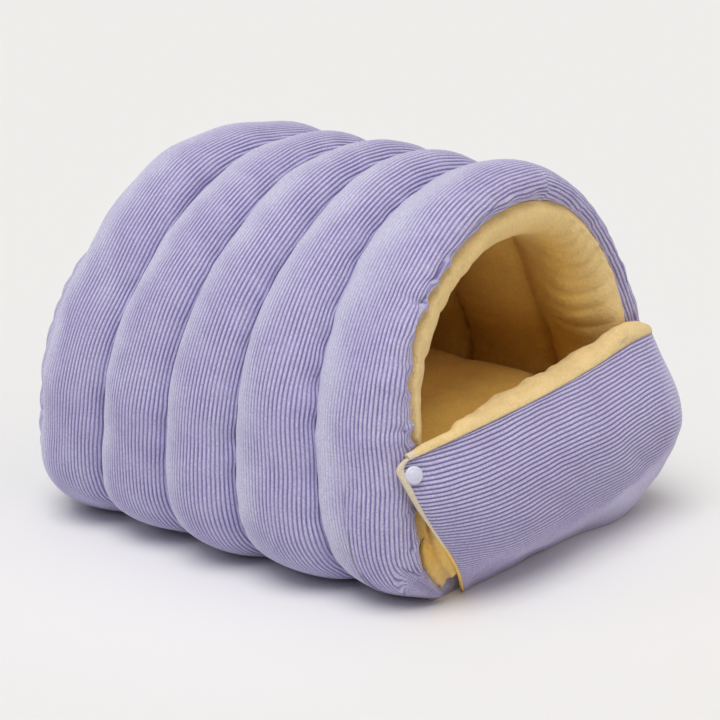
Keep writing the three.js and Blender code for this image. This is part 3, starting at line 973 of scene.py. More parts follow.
@dataclass
class TunnelShell:
    """The corduroy tunnel: five puffy channels, gathered a little at their seams and at the mouth."""

    tunnel: Tunnel
    rows: int = 190
    columns: int = 220
    front_rows: int = 440
    front_columns: int = 285
    steps: int = 900
    measured_run: float = -0.45
    front_crest_at: float = 0.36
    pucker: float = 1.4
    pucker_reach: float = 16.0
    swell: float = 1.0
    wander: float = 0.8
    kinks: float = 0.35
    pleats: tuple[Pleat, ...] = (
        Pleat(-0.345, 1.6, 2.2, 12, 1.3),
        Pleat(-0.40, 2.0, 2.4, 15, -1.8),
        Pleat(-0.46, 2.6, 2.6, 21, 2.2),
        Pleat(-0.525, 1.3, 2.4, 13, -1.2),
        Pleat(-0.585, 1.5, 2.4, 15, 1.4),
        Pleat(-0.64, 1.4, 2.4, 14, -1.3),
        Pleat(-0.70, 2.6, 2.6, 22, -2.0),
        Pleat(-0.745, 1.6, 2.4, 17, 1.4),
        Pleat(-0.80, 1.8, 2.4, 20, 1.5),
        Pleat(-0.84, 1.6, 2.4, 18, -1.2),
        Pleat(0.25, 1.2, 2.2, 9, 1.0),
        Pleat(0.33, 1.0, 2.2, 9, -0.8),
        Pleat(0.44, 0.8, 2.4, 9, 0.6),
        Pleat(0.58, 0.6, 2.6, 9, -0.5),
    )
    dart: Pleat = Pleat(-0.925, 2.6, 2.2, 16, 0.8, 1.1)
    # The flat-pile zone is each channel's side that the key light falls on: shallow ribs, painted
    # highlight.
    laid_depth: float = 0.2
    right_lay: float = 0.5
    laid_from: tuple[float, float] = (0.12, 0.22)
    laid_width: tuple[float, float] = (0.36, 0.5)
    top_runs: tuple[float, float] = (0.6, 0.2)
    laid_wander: float = 0.045
    right_runs: tuple[float, float] = (0.1, 0.4)
    ridge: float = 0.3
    ridge_at: float = 6.0
    ridge_width: float = 5.0
    jog_width: float = 14.0
    join_run: float = 0.085
    join_depth: float = 1.2
    join_width: float = 1.6
    join_reach: tuple[float, float] = (60.0, 44.0)
    join_lift: float = 3.2
    join_lift_width: float = 16.0
    join_step: float = 0.9
    join_step_width: float = 20.0

    def build(self, wales: WaleTree, material: bpy.types.Material) -> list[bpy.types.Object]:
        """Makes the five channels.

        Args:
            wales: gives them their ribs.
            material: the corduroy.

        Returns:
            The channels, back to front.
        """
        return [self._channel(k, wales, material) for k in range(len(self.tunnel.crests))]

    def _channel(self, index: int, wales: WaleTree, material: bpy.types.Material) -> bpy.types.Object:
        """Makes one channel as a closed body between its outer face and the wall."""
        tunnel = self.tunnel
        is_front = index + 1 == len(tunnel.crests)
        columns = self.front_columns if is_front else self.columns
        sections = tunnel.outside(index, self.steps)
        crest = tunnel.channel(index, 90)
        runs = tunnel.even_runs(crest, self.front_rows if is_front else self.rows)
        measure = distances(arch_points(np.array([self.measured_run]), sections), 1)[0]
        picks = np.interp(np.linspace(0, measure[-1], columns + 1), measure, np.arange(len(sections)))
        low = picks.astype(int).clip(0, len(sections) - 2)
        share = (picks - low)[None, :, None]
        whole = arch_points(runs, sections)
        grid = tunnel.settle(whole[:, low] * (1 - share) + whole[:, low + 1] * share, runs)
        across = distances(grid, 1)
        total = across[:, -1:]
        crest_share = self.front_crest_at if is_front else 0.5
        crest_at = np.interp(crest_share, np.linspace(0, 1, columns + 1), np.arange(columns + 1))
        across = across - across[:, [int(crest_at)]]
        along = distances(grid, 0)[:, [columns // 2]]
        edge = np.minimum(across - across[:, :1], across[:, -1:] - across)
        normals = grid_normals(grid, from_axis)
        bulk = self._bulk(index, along, across, edge, total)
        phase = across + self._wander(index, along, across, edge)
        if is_front:
            to_seam = across[:, -1:] - across
            fold, jog = self._gathers(runs[:, None], along, to_seam)
            bulk = bulk + fold
            phase = phase + jog
        grid = grid + normals * bulk[..., None]
        grid[..., 2] = np.maximum(grid[..., 2], 0.0)
        blotch = self.laid_wander * ripple(111 + index, along, across, 24, 90)
        turn = (across - across[:, :1]) / total + blotch
        on_top = smooth_step(*self.top_runs, np.abs(runs))[:, None]
        laid_from = mix(*self.laid_from, on_top)
        upright = smooth_step(0.0, 1.0, (turn - laid_from) / mix(*self.laid_width, on_top))
        right = smooth_step(*self.right_runs, runs)
        upright = 1.0 - (1.0 - upright) * mix(1.0, self.right_lay, right)[:, None]
        worn = 0.9 + 0.1 * ripple(121 + index, along, across, 8, 40)
        depth = mix(self.laid_depth, 1.0, upright) * smooth_step(0.0, 2.5, edge) * np.clip(worn, 0, 1)
        draft = Sewing(f"tunnel_shell_channel_{index + 1}")
        # the flat-pile zone's paler colour is a painted highlight on the channel's lit side
        shown = draft.grid(grid, across=phase, depth=depth, laid=0.9 * (1 - upright))
        hidden = draft.grid(self._wall(runs, sections))
        draft.close(shown, hidden)
        piece = draft.make(material)
        wales.rib(piece, material)
        dress(piece, ClothKind.CORDUROY, "tunnel_shell", 0.75)
        return piece

    def _wall(self, runs: np.ndarray, sections: Sequence[Section]) -> Grid:
        """Returns the hidden face of a channel, on the wall between filling and fleece."""
        tunnel = self.tunnel
        ends = [tunnel.wall_share(sections[0].y), tunnel.wall_share(sections[-1].y)]
        gap = 0.15 / (tunnel.wall_back.y - tunnel.wall_front.y)
        shares = np.linspace(ends[0] + gap, ends[1] - gap, 7)
        return arch_points(runs, [tunnel.wall(s, 0.0) for s in shares])

    def _bulk(
        self, index: int, along: np.ndarray, across: np.ndarray, edge: np.ndarray, total: np.ndarray
    ) -> np.ndarray:
        """Returns the cloth's soft unevenness, in mm: broad swells and puckers beside the seams."""
        broad = self.swell * ripple(11 + index, along, across, 60, 150)
        near = np.exp(-edge / self.pucker_reach) * smooth_step(0, 4, edge)
        puckers = np.where(
            across < 0,
            ripple(31 + index, along, across * 0.3, 22, 46),
            ripple(51 + index, along, across * 0.3, 20, 40),
        )
        calm = 0.15 if index == 0 else 0.5
        blend = mix(calm, 1.0, smooth_step(-0.2, 0.2, across / total))
        return broad * smooth_step(0, 12, edge) + self.pucker * near * puckers * blend

    def _wander(
        self, index: int, along: np.ndarray, across: np.ndarray, edge: np.ndarray
    ) -> np.ndarray:
        """Returns how far the ribs wander from straight, in mm."""
        slow = ripple(71 + index, along, across, 70, 190)
        kinks = ripple(91 + index, along, across * 0.5, 16, 34) * np.exp(-edge / 14.0)
        return self.wander * slow + self.kinks * kinks

    def _gathers(
        self, run: np.ndarray, along: np.ndarray, to_seam: np.ndarray
    ) -> tuple[np.ndarray, np.ndarray]:
        """Pleats beside the mouth's seam, the dart at its left foot and the join at the top.

        Args:
            run: the rows' places round the arch.
            along: the rows' places along the channel, in mm.
            to_seam: how far each point lies from the mouth's seam, in mm.

        Returns:
            Their depth below the cloth and how far the ribs jog there, both in mm.
        """
        fold = np.zeros(np.broadcast(along, to_seam).shape)
        jog = np.zeros_like(fold)
        for pleat in self.pleats:
            at = np.interp(pleat.run, run[:, 0], along[:, 0])
            slant = at + pleat.slope * to_seam * np.sign(pleat.jog)
            near = bell(to_seam, pleat.reach)
            gap = along - slant
            fold = fold - pleat.depth * bell(gap, pleat.width) * near
            ridge = bell(gap - self.ridge_at, self.ridge_width)
            fold = fold + self.ridge * pleat.depth * ridge * near
            jog = jog + pleat.jog * np.tanh(gap / 2.0) * bell(gap, self.jog_width) * near
        foot = np.interp(self.dart.run, run[:, 0], along[:, 0])
        below = np.minimum(along - foot - self.dart.slope * to_seam, 0.0)
        aside = smooth_step(2.0 * self.dart.reach, self.dart.reach, to_seam)
        jog = jog + self.dart.jog * below * aside
        fold = fold - self.dart.depth * bell(below, self.dart.width) * aside * (below < 0)
        at = np.interp(self.join_run, run[:, 0], along[:, 0])
        gap = along - at
        near = smooth_step(*self.join_reach, to_seam)
        fold = fold - self.join_depth * bell(gap, self.join_width) * near
        jog = jog + self.join_lift * np.exp(-np.abs(gap) / self.join_lift_width) * near
        step = np.exp(-np.abs(gap) / self.join_step_width) * near
        jog = jog + self.join_step * np.sign(gap) * step
        return fold, jog


@dataclass(frozen=True)
class Crease:
    """A soft trough in the lining: its height round the arch, its ends along the tunnel, and its bend."""

    run: float
    start: float
    end: float
    bend: float
    depth: float
    width: float = 2.7


@dataclass
class TunnelLining:
    """The fleece inside the tunnel: five soft channels and the rolled lip at the mouth."""

    tunnel: Tunnel
    rows: int = 300
    steps: int = 22
    lip_steps: int = 44
    # where the lining takes the painted shade of the cave: deeper in the tunnel and low on the left wall
    inner_from: float = -169.0
    inner_to: float = -130.0
    low_inner: float = 0.7
    low_inner_heights: tuple[float, float] = (100.0, 62.0)
    lip_relief: float = 0.15
    lip_relief_from: tuple[float, float] = (-148.0, -118.0)
    hem: float = 12.0
    creases: tuple[Crease, ...] = (
        Crease(0.225, -165, -134, 13, 1.7),
        Crease(0.275, -164, -128, 15, 2.2),
        Crease(0.32, -160, -130, 17, 1.8),
        Crease(0.37, -164, -120, 20, 2.6),
        Crease(0.415, -158, -126, 16, 1.8),
        Crease(0.47, -162, -116, 16, 2.6),
        Crease(0.53, -156, -120, 11, 2.0),
        Crease(0.60, -153, -118, 9, 1.5),
        Crease(0.60, -70, -30, -4, 1.3),
        Crease(0.52, -60, -28, 5, 0.9),
        Crease(-0.30, -162, -128, -12, 1.4),
        Crease(-0.42, -160, -124, -12, 1.6),
        Crease(-0.55, -160, -122, -10, 1.5),
    )

    def build(self, material: bpy.types.Material) -> bpy.types.Object:
        """Returns the lining as one closed piece."""
        tunnel = self.tunnel
        sections: list[Section] = []
        for channel in range(len(tunnel.lining_seams) - 1):
            sections += tunnel.inside(channel, self.steps)[:-1]
        sections += tunnel.mouth_lip(self.lip_steps)
        runs = tunnel.even_runs(tunnel.lip[2], self.rows)
        grid = tunnel.settle(arch_points(runs, sections), runs)
        normals = grid_normals(grid, lambda g: -from_axis(g))
        along = distances(grid, 0)[:, [len(sections) // 2]]
        across = distances(grid, 1)
        seam_columns = [self.steps * k for k in range(len(tunnel.lining_seams))]
        from_seam = np.min(np.abs(across[:, :, None] - across[:, None, seam_columns]), axis=2)
        end = np.minimum(across[:, -1:] - across, self.hem) / self.hem
        relief = 0.9 * ripple(5, along, across, 40, 110) * smooth_step(0, 10, from_seam)
        relief = relief + 0.9 * ripple(6, along, across * 0.3, 18, 36) * np.exp(-from_seam / 9.0)
        relief = relief + 0.3 * ripple(7, along, across, 6, 16)
        relief = relief * mix(self.lip_relief, 1.0, smooth_step(*self.lip_relief_from, grid[..., 1]))
        relief = relief + self._creases(runs[:, None], along, grid[..., 1])
        # painted shade: the deeper honey deeper in the tunnel and low on the left wall
        inside = smooth_step(self.inner_from, self.inner_to, grid[..., 1])
        low = self.low_inner * smooth_step(*self.low_inner_heights, grid[..., 2])
        inside = np.maximum(inside, low * (grid[..., 0] < 0))
        grid = grid + normals * (relief * smooth_step(0, 1, end))[..., None]
        draft = Sewing("tunnel_lining_fleece")
        shown = draft.grid(grid, inside=inside)
        walls = [tunnel.wall(s, WALL_GAP) for s in np.linspace(0, 1, 12)]
        draft.close(shown, draft.grid(arch_points(runs, walls)))
        piece = draft.make(material)
        dress(piece, ClothKind.FLEECE, "tunnel_lining", 0.6)
        return piece

    def _creases(self, run: np.ndarray, along: np.ndarray, y: np.ndarray) -> np.ndarray:
        """Returns the depth of all creases, in mm."""
        total = np.zeros(y.shape)
        for crease in self.creases:
            at = np.interp(crease.run, run[:, 0], along[:, 0])
            middle, half = (crease.start + crease.end) / 2, (crease.end - crease.start) / 2
            place = (y - middle) / half
            line = at - crease.bend * np.sign(crease.run) * (place * 0.5 + 0.5) ** 2
            fade = np.exp(-np.abs(place) ** 3)
            gap = along - line
            total = total - crease.depth * bell(gap, crease.width) * fade
            total = total + 0.4 * crease.depth * bell(gap - 8, 6) * fade
        return total


@dataclass
class BackPanel:
    """The gathered corduroy back: it bulges out behind and is drawn into small pleats round its seam."""

    tunnel: Tunnel
    bulge: float = 28.0
    crown: float = 5.0
    edge_power: float = 13.0
    columns: int = 640
    rows: int = 84
    pleat_from: float = 0.76
    pleat_depth: float = 2.2
    pleat_count: int = 46
    ties: tuple[tuple[float, float], ...] = (
        (-44.0, 1.0),
        (8.0, 0.5),
        (40.0, 0.9),
        (84.0, 0.7),
        (122.0, 0.6),
        (-124.0, 0.6),
    )
    tie_width: float = 9.0
    tie_pull: float = 0.55
    max_share: float = 0.985
    hidden_step: int = 20

    def build(self, wales: WaleTree, material: bpy.types.Material) -> bpy.types.Object:
        """Returns the back as one closed piece."""
        tunnel = self.tunnel
        seam = tunnel.seams[0]
        groove = tunnel.groove(0)
        section = Section(groove.half_width, groove.height, seam.y, seam.lean, sink=FOOT_SINK)
        outline = arch_points(np.linspace(-1, 1, 1601), [section])[:, 0]
        angle = np.arctan2(outline[:, 0], outline[:, 2] - SHOULDER_HEIGHT)
        radius = np.hypot(outline[:, 0], outline[:, 2] - SHOULDER_HEIGHT)
        order = np.argsort(angle)
        x, z, size = self._spread(angle[order], radius[order])
        polar = np.arctan2(x, z - SHOULDER_HEIGHT)
        out = self.bulge * np.sqrt(np.clip(1 - size**self.edge_power, 0, 1)) + self.crown * (1 - size**2)
        pull = smooth_step(self.pleat_from, 1.0, size)
        for place, strength in self.ties:
            gap = (np.degrees(polar) - place) / self.tie_width
            out = out * (1 - self.tie_pull * strength * np.exp(-(gap**2)) * pull)
        jitter = 0.35 * np.sin(7 * polar + 1.3) + 0.3 * np.sin(11 * polar + 0.4)
        pleats = self.pleat_depth * pull * (np.abs(np.cos(self.pleat_count * polar / 2 + jitter)) - 0.6)
        soft = 1.6 * ripple(17, x, z, 60, 140) * smooth_step(1.0, 0.8, size)
        y = seam.y + seam.lean * (z - TILT_HEIGHT) / TILT_SPAN
        shown = np.stack([x, y + out + soft + pleats * smooth_step(1.0, 0.97, size), z], axis=-1)
        back = np.stack([x, y + SEAT_GAP, z], axis=-1)
        phase = x + 1.2 * ripple(18, x, z, 70, 160) + 1.2 * pleats * np.sign(x)
        depth = 0.9 * smooth_step(1.0, 0.97, size)
        draft = Sewing("back_panel_gathered")
        front_index = draft.grid(shown, across=phase, depth=depth)
        picks = [*range(0, x.shape[1], self.hidden_step)]
        picks[-1] = x.shape[1] - 1
        hidden = draft.grid(back[:, picks])
        draft.close(front_index, hidden)
        piece = draft.make(material)
        wales.rib(piece, material)
        dress(piece, ClothKind.CORDUROY, "back_panel", 0.6)
        return piece

    def _spread(self, angle: np.ndarray, radius: np.ndarray) -> tuple[np.ndarray, np.ndarray, np.ndarray]:
        """Spreads a grid of x and z over the outline.

        Args:
            angle: the outline's angles about its middle, rising.
            radius: its radii, in mm.

        Returns:
            x and z in mm, and size: the share of the way from the middle to the outline.
        """
        edge_x = radius * np.sin(angle)
        edge_z = radius * np.cos(angle) + SHOULDER_HEIGHT
        widest = edge_x.max() * self.max_share
        x = np.linspace(-widest, widest, self.columns)
        upper = edge_z >= SHOULDER_HEIGHT
        order = np.argsort(edge_x[upper])
        top = np.interp(x, edge_x[upper][order], edge_z[upper][order])
        lower = ~upper
        order = np.argsort(edge_x[lower])
        bottom = np.interp(x, edge_x[lower][order], edge_z[lower][order])
        share = (1 - np.cos(np.linspace(0, math.pi, self.rows))) / 2
        z = bottom[None, :] + (top - bottom)[None, :] * share[:, None]
        grid_x = np.broadcast_to(x[None, :], z.shape)
        reach = np.interp(np.arctan2(grid_x, z - SHOULDER_HEIGHT), angle, radius)
        size = np.clip(np.hypot(grid_x, z - SHOULDER_HEIGHT) / reach, 0, 1)
        return grid_x, z, size


@dataclass
class BackLining:
    """The fleece on the inside of the back, a shallow pillow."""

    tunnel: Tunnel
    inset: float = 10.0
    edge: float = 6.0
    crown: float = 14.0
    rings: int = 26
    around: int = 160

    def build(self, material: bpy.types.Material) -> bpy.types.Object:
        """Returns the pillow as one closed piece."""
        seam = self.tunnel.seams[0]
        base = self.tunnel.lining_section
        section = replace(
            base,
            half_width=base.half_width - self.inset,
            height=base.height - self.inset,
            floor=self.tunnel.pad_height + 2.5,
            y=seam.y,
            lean=seam.lean,
        )
        arch = arch_points(self.tunnel.even_runs(section, self.around), [section])[:, 0]
        floor = arch[-1] + (arch[0] - arch[-1]) * np.linspace(0, 1, self.around // 3)[1:, None]
        loop = np.concatenate([arch, floor])
        sizes = np.sin(np.linspace(0.02, math.pi / 2, self.rings))
        grid = np.stack([self._ring(section, loop, s, self._swell(s)) for s in sizes])
        back = np.stack([self._ring(section, loop, s, -SEAT_GAP) for s in (1.0, 0.5, 0.02)])
        grid[..., 1] += 0.7 * ripple(23, grid[..., 0], grid[..., 2], 30, 90)
        whole = np.concatenate([grid, back])
        draft = Sewing("back_lining_fleece")
        draft.cap(draft.grid(whole))
        piece = draft.make(material)
        weld(piece)
        # painted shade: the whole pillow takes the deeper honey of the cave's shade
        mark_all(piece, "inside", 1.0)
        dress(piece, ClothKind.FLEECE, "back_lining", 0.5)
        return piece

    def _swell(self, size: float) -> float:
        """Returns how far the pillow stands into the cave at a share of its size."""
        return -self.edge - self.crown * math.sqrt(1 - size**2)

    @staticmethod
    def _ring(section: Section, loop: np.ndarray, size: float, shift: float) -> np.ndarray:
        """Returns the outline drawn in about its middle and moved along the tunnel."""
        z = SHOULDER_HEIGHT + (loop[:, 2] - SHOULDER_HEIGHT) * size
        y = section.y + section.lean * (z - TILT_HEIGHT) / TILT_SPAN + shift
        return np.stack([loop[:, 0] * size, y, z], axis=-1)


def mark_all(piece: bpy.types.Object, name: str, value: float) -> None:
    """Gives every point of a piece the same value of an attribute."""
    mesh = piece.data
    layer = mesh.attributes.get(name) or mesh.attributes.new(name, "FLOAT", "POINT")
    layer.data.foreach_set("value", [value] * len(mesh.vertices))


def weld(piece: bpy.types.Object, distance: float = 0.02) -> None:
    """Merges the doubled points of a piece and turns its faces outwards.

    Args:
        piece: the piece.
        distance: how near points are merged, in mm.
    """
    draft = bmesh.new()
    draft.from_mesh(piece.data)
    bmesh.ops.remove_doubles(draft, verts=draft.verts, dist=distance * MM)
    face_outwards(draft)
    draft.to_mesh(piece.data)
    draft.free()


@dataclass
class BasePad:
    """The stitched floor of the bed, a flat pad between the walls' feet."""

    tunnel: Tunnel
    front: float = -160.0
    back_gap: float = 1.0
    edge_radius: float = 7.0
    columns: int = 230
    rows: int = 60

    def build(self, wales: WaleTree, material: bpy.types.Material) -> bpy.types.Object:
        """Returns the pad as one closed piece, its ribs running along the tunnel."""
        seam = self.tunnel.seams[0]
        height = self.tunnel.pad_height
        back = seam.y + seam.lean * (height - TILT_HEIGHT) / TILT_SPAN - self.back_gap
        half = FOOT_X - SEAT_GAP
        x = np.linspace(-half, half, self.columns)[None, :]
        y = np.linspace(self.front, back, self.rows)[:, None]
        edge = np.minimum(np.minimum(half - np.abs(x), y - self.front), back - y)
        drop = self.edge_radius - np.sqrt(
            np.clip(self.edge_radius**2 - np.clip(self.edge_radius - edge, 0, None) ** 2, 0, None)
        )
        shape = edge.shape
        shown = np.stack([np.broadcast_to(x, shape), np.broadcast_to(y, shape), height - drop], axis=-1)
        under = shown[:, [0, 40, 80, 115, 150, 190, -1]].copy()
        under[..., 2] = 0.0
        draft = Sewing("base_pad_floor")
        index = draft.grid(
            shown, across=np.broadcast_to(x, shape), depth=0.8 * smooth_step(2, 8, edge)
        )
        draft.close(index, draft.grid(under))
        piece = draft.make(material)
        wales.rib(piece, material)
        dress(piece, ClothKind.BASE, "base_pad", 0.4)
        return piece


@dataclass
class FloorCushion:
    """The filled fleece cushion on the floor of the cave, swelled by a short cloth simulation."""

    tunnel: Tunnel
    front: float = -146.0
    back: float = 158.0
    height: float = 121.0
    widest: float = 108.0
    width_share: float = 0.96
    side_gap: float = 4.0
    end_width: float = 0.75
    end_widest: float = 60.3
    end_height: float = 65.3
    end_round: float = 0.35
    crown_round: float = 0.7
    stations: int = 40
    around: int = 64
    shrink: float = 2.5
    swell_cap: float = 4.0
    voxel: float = 5.0
    frames: int = 20
    pressure: float = 4.0

    def build(self, material: bpy.types.Material) -> bpy.types.Object:
        """Returns the cushion."""
        tunnel = self.tunnel
        sections = [s for k in range(4) for s in tunnel.inside(k, 24)]
        sections += tunnel.mouth_lip(30)
        ys = np.array([s.y for s in sections])
        widths = np.array([s.half_width for s in sections])
        order = np.argsort(ys)
        angles = np.linspace(0.0, math.pi, self.stations + 1)[1:-1]
        rings = []
        for angle in angles:
            y = mix(self.back, self.front, (1 - math.cos(angle)) / 2)
            end = math.sin(angle) ** self.end_round
            room = np.interp(y, ys[order], widths[order]) * self.width_share - self.side_gap
            rings.append(self._ring(y, room * mix(self.end_width, 1, end), end))
        draft = Sewing("floor_cushion_fleece")
        draft.cap(draft.grid(np.stack(rings)))
        piece = draft.make(material)
        weld(piece)
        self._swell(piece)
        self._rumple(piece)
        # painted shade: the whole cushion takes the deeper honey of the cave's shade
        mark_all(piece, "inside", 1.0)
        piece.data.shade_smooth()
        dress(piece, ClothKind.FLEECE, "floor_cushion", 0.7)
        return piece

    def _ring(self, y: float, half_width: float, end: float) -> np.ndarray:
        """Returns a closed ring across the cushion, squared below its widest height and crowned above."""
        bottom = self.tunnel.pad_height + SEAT_GAP
        turn = np.linspace(0, 2 * math.pi, self.around + 1)
        c, s = np.cos(turn), np.sin(turn)
        power = np.where(s < 0, 2 / FOOT_POWER, self.crown_round)
        widest = mix(self.end_widest, self.widest, end)
        top = mix(self.end_height, self.height, end)
        target = np.where(s < 0, bottom, top)
        z = widest + (target - widest) * np.abs(s) ** power
        x = half_width * np.sign(c) * np.abs(c) ** power
        return np.stack([x, np.full_like(x, y), z], axis=-1)

    def _swell(self, piece: bpy.types.Object) -> None:
        """Swells the cushion from a slightly smaller shape with Blender's cloth, and caps the movement."""
        centre = read_points(piece.data).mean(axis=0)
        small = piece.modifiers.new("remesh", "REMESH")
        small.mode = "VOXEL"
        small.voxel_size = self.voxel * MM
        apply_modifiers(piece)
        rest = read_points(piece.data)
        away = rest - centre
        reach = np.linalg.norm(away, axis=1, keepdims=True) + 1e-9
        rest = rest - away / reach * self.shrink * MM
        write_points(piece.data, rest)
        cloth = piece.modifiers.new("cloth", "CLOTH")
        cloth.settings.use_pressure = True
        cloth.settings.uniform_pressure_force = self.pressure
        cloth.settings.effector_weights.gravity = 0.0
        cloth.point_cache.frame_start = 1
        cloth.point_cache.frame_end = self.frames
        for frame in range(1, self.frames + 1):
            bpy.context.scene.frame_set(frame)
        apply_modifiers(piece)
        bpy.context.scene.frame_set(1)
        move = read_points(piece.data) - rest
        far = np.linalg.norm(move, axis=1, keepdims=True) + 1e-9
        move *= np.minimum(1.0, self.swell_cap * MM / far)
        moved = rest + move
        floor = (self.tunnel.pad_height + SEAT_GAP) * MM
        moved[:, 2] = np.maximum(moved[:, 2], floor)
        write_points(piece.data, moved)
        fine = piece.modifiers.new("fine", "SUBSURF")
        fine.levels = fine.render_levels = 1
        apply_modifiers(piece)

    def _rumple(self, piece: bpy.types.Object) -> None:
        """Gives the cushion's top its broad soft dents."""
        points = read_points(piece.data)
        x, y, z = (points / MM).T
        top = smooth_step(70, 105, z)
        points[:, 2] += MM * top * (1.6 * ripple(41, x, y, 60, 130) + 0.35 * ripple(42, x, y, 8, 20))
        write_points(piece.data, points)
        piece.data.update()


@dataclass(frozen=True)
class FlapStation:
    """One section of the flap from its foot to its top edge, with its padding, in mm."""

    foot: tuple[float, float, float]
    low: tuple[float, float, float]
    high: tuple[float, float, float]
    top: tuple[float, float, float]
    pad: float
    lip: float
    roll: float


@dataclass
class FlapShape:
    """The flap's own measure, which its corduroy, its fleece and the snap share."""

    stations: tuple[FlapStation, ...] = (
        FlapStation((-84, -167, 0), (-118, -183, 36), (-156, -181, 86), (-169, -171, 117), 4, 4, 2),
        FlapStation((-66, -167, 0), (-95, -195, 40), (-113, -197, 90), (-114, -183, 127), 18, 10, 4),
        FlapStation((-30, -167, 0), (-50, -202, 42), (-55, -205, 94), (-56, -184, 131), 38, 22, 5),
        FlapStation((10, -167, 0), (5, -204, 42), (5, -208, 95), (6, -184, 136), 42, 24, 6),
        FlapStation((64, -168, 0), (66, -206, 46), (66, -208, 97), (66, -181, 141), 42, 23, 9),
        FlapStation((108, -175, 0), (116, -206, 50), (116, -208, 97), (114, -180, 148), 32, 16, 14),
        FlapStation((140, -170, 0), (157, -198, 52), (157, -204, 94), (150, -178, 150), 20, 12, 7),
        FlapStation((160, -150, 0), (181, -172, 54), (181, -174, 92), (172, -157, 141), 8, 7, 2),
        FlapStation((147, -118, 0), (176, -124, 50), (179, -124, 92), (178, -115, 134), 4, 3, 2),
    )
    foot_padding: float = 5.0
    slope: float = 0.4
    lift: float = 3.0
    roll_turn: float = 176.0
    overhang: float = 0.5
    drop: float = 1.3
    tuck: float = 0.2
    edge_margin: tuple[float, float] = (1.0, 4.2)
    margin_rise: tuple[float, float] = (0.5, 0.95)
    snap_along: float = 0.023
    snap_up: float = 0.89
    snap_dent: float = 2.2
    snap_reach: float = 9.5
    length: float = 430.0
    rise: float = 160.0

    def __post_init__(self) -> None:
        """Keeps the stations as arrays."""
        levels = ("foot", "low", "high", "top")
        self.face = np.array([[getattr(s, level) for level in levels] for s in self.stations], float)
        self.filling = np.array([[s.pad, s.lip, s.roll] for s in self.stations], float)

    def points(self, along: np.ndarray, up: np.ndarray) -> Grid:
        """Returns the outer face's points at shares along the flap and up it, shaped alike."""
        wide, tall = curve_weights(len(self.stations), along), curve_weights(4, up)
        flat = np.einsum("pi,ijk,pj->pk", wide, self.face, tall)
        return flat.reshape(*along.shape, 3)

    def inward(self, along: np.ndarray, up: np.ndarray) -> Grid:
        """Returns the unit normals that point into the flap."""
        step = 0.01
        a, b = np.clip(along - step, 0, 1), np.clip(along + step, 0, 1)
        c, d = np.clip(up - step, 0, 1), np.clip(up + step, 0, 1)
        wide = self.points(b, up) - self.points(a, up)
        tall = self.points(along, d) - self.points(along, c)
        normal = np.cross(tall, wide)
        return normal / np.linalg.norm(normal, axis=2, keepdims=True)

    def fill(self, along: np.ndarray) -> np.ndarray:
        """Returns the padding, lip and roll at shares along the flap."""
        return (curve_weights(len(self.stations), along) @ self.filling).reshape(*along.shape, 3)

    def padding(self, along: np.ndarray, up: np.ndarray) -> np.ndarray:
        """Returns the flap's full thickness, in mm."""
        pad, lip, _ = np.moveaxis(self.fill(along), -1, 0)
        foot = np.minimum(self.foot_padding, pad)
        ladder = np.stack([foot, pad, pad, lip], axis=-1).reshape(-1, 4)
        return (curve_weights(4, up) * ladder).sum(axis=1).reshape(along.shape)

    def behind(self, along: np.ndarray, up: np.ndarray, share: float) -> Grid:
        """Returns the points at a share of the padding behind the outer face."""
        inward = self.inward(along, up) * (share * self.padding(along, up))[..., None]
        inward[..., 2] *= self.slope
        points = self.points(along, up) + inward
        points[..., 2] = np.maximum(points[..., 2], share * self.lift)
        return points

    def margin(self, up: np.ndarray) -> np.ndarray:
        """Returns how far the corduroy stays back from the fleece's cut edge, in mm."""
        return mix(*self.edge_margin, smooth_step(*self.margin_rise, up))

    def tab(
        self, along: np.ndarray, up: np.ndarray, margin: float | np.ndarray, radius: float
    ) -> np.ndarray:
        """Draws the flap's free end in round the corner of its tab.

        Args:
            along: shares along the flap.
            up: shares up it.
            margin: how far the end is drawn in, in mm, all the way or at each share up it.
            radius: the corner's radius, in mm.

        Returns:
            The new shares along the flap.
        """
        short = np.clip(radius - (1 - up) * self.rise, 0, radius)
        drawn = (margin + radius - np.sqrt(radius**2 - short**2)) / self.length
        return drawn + along * (1 - drawn)


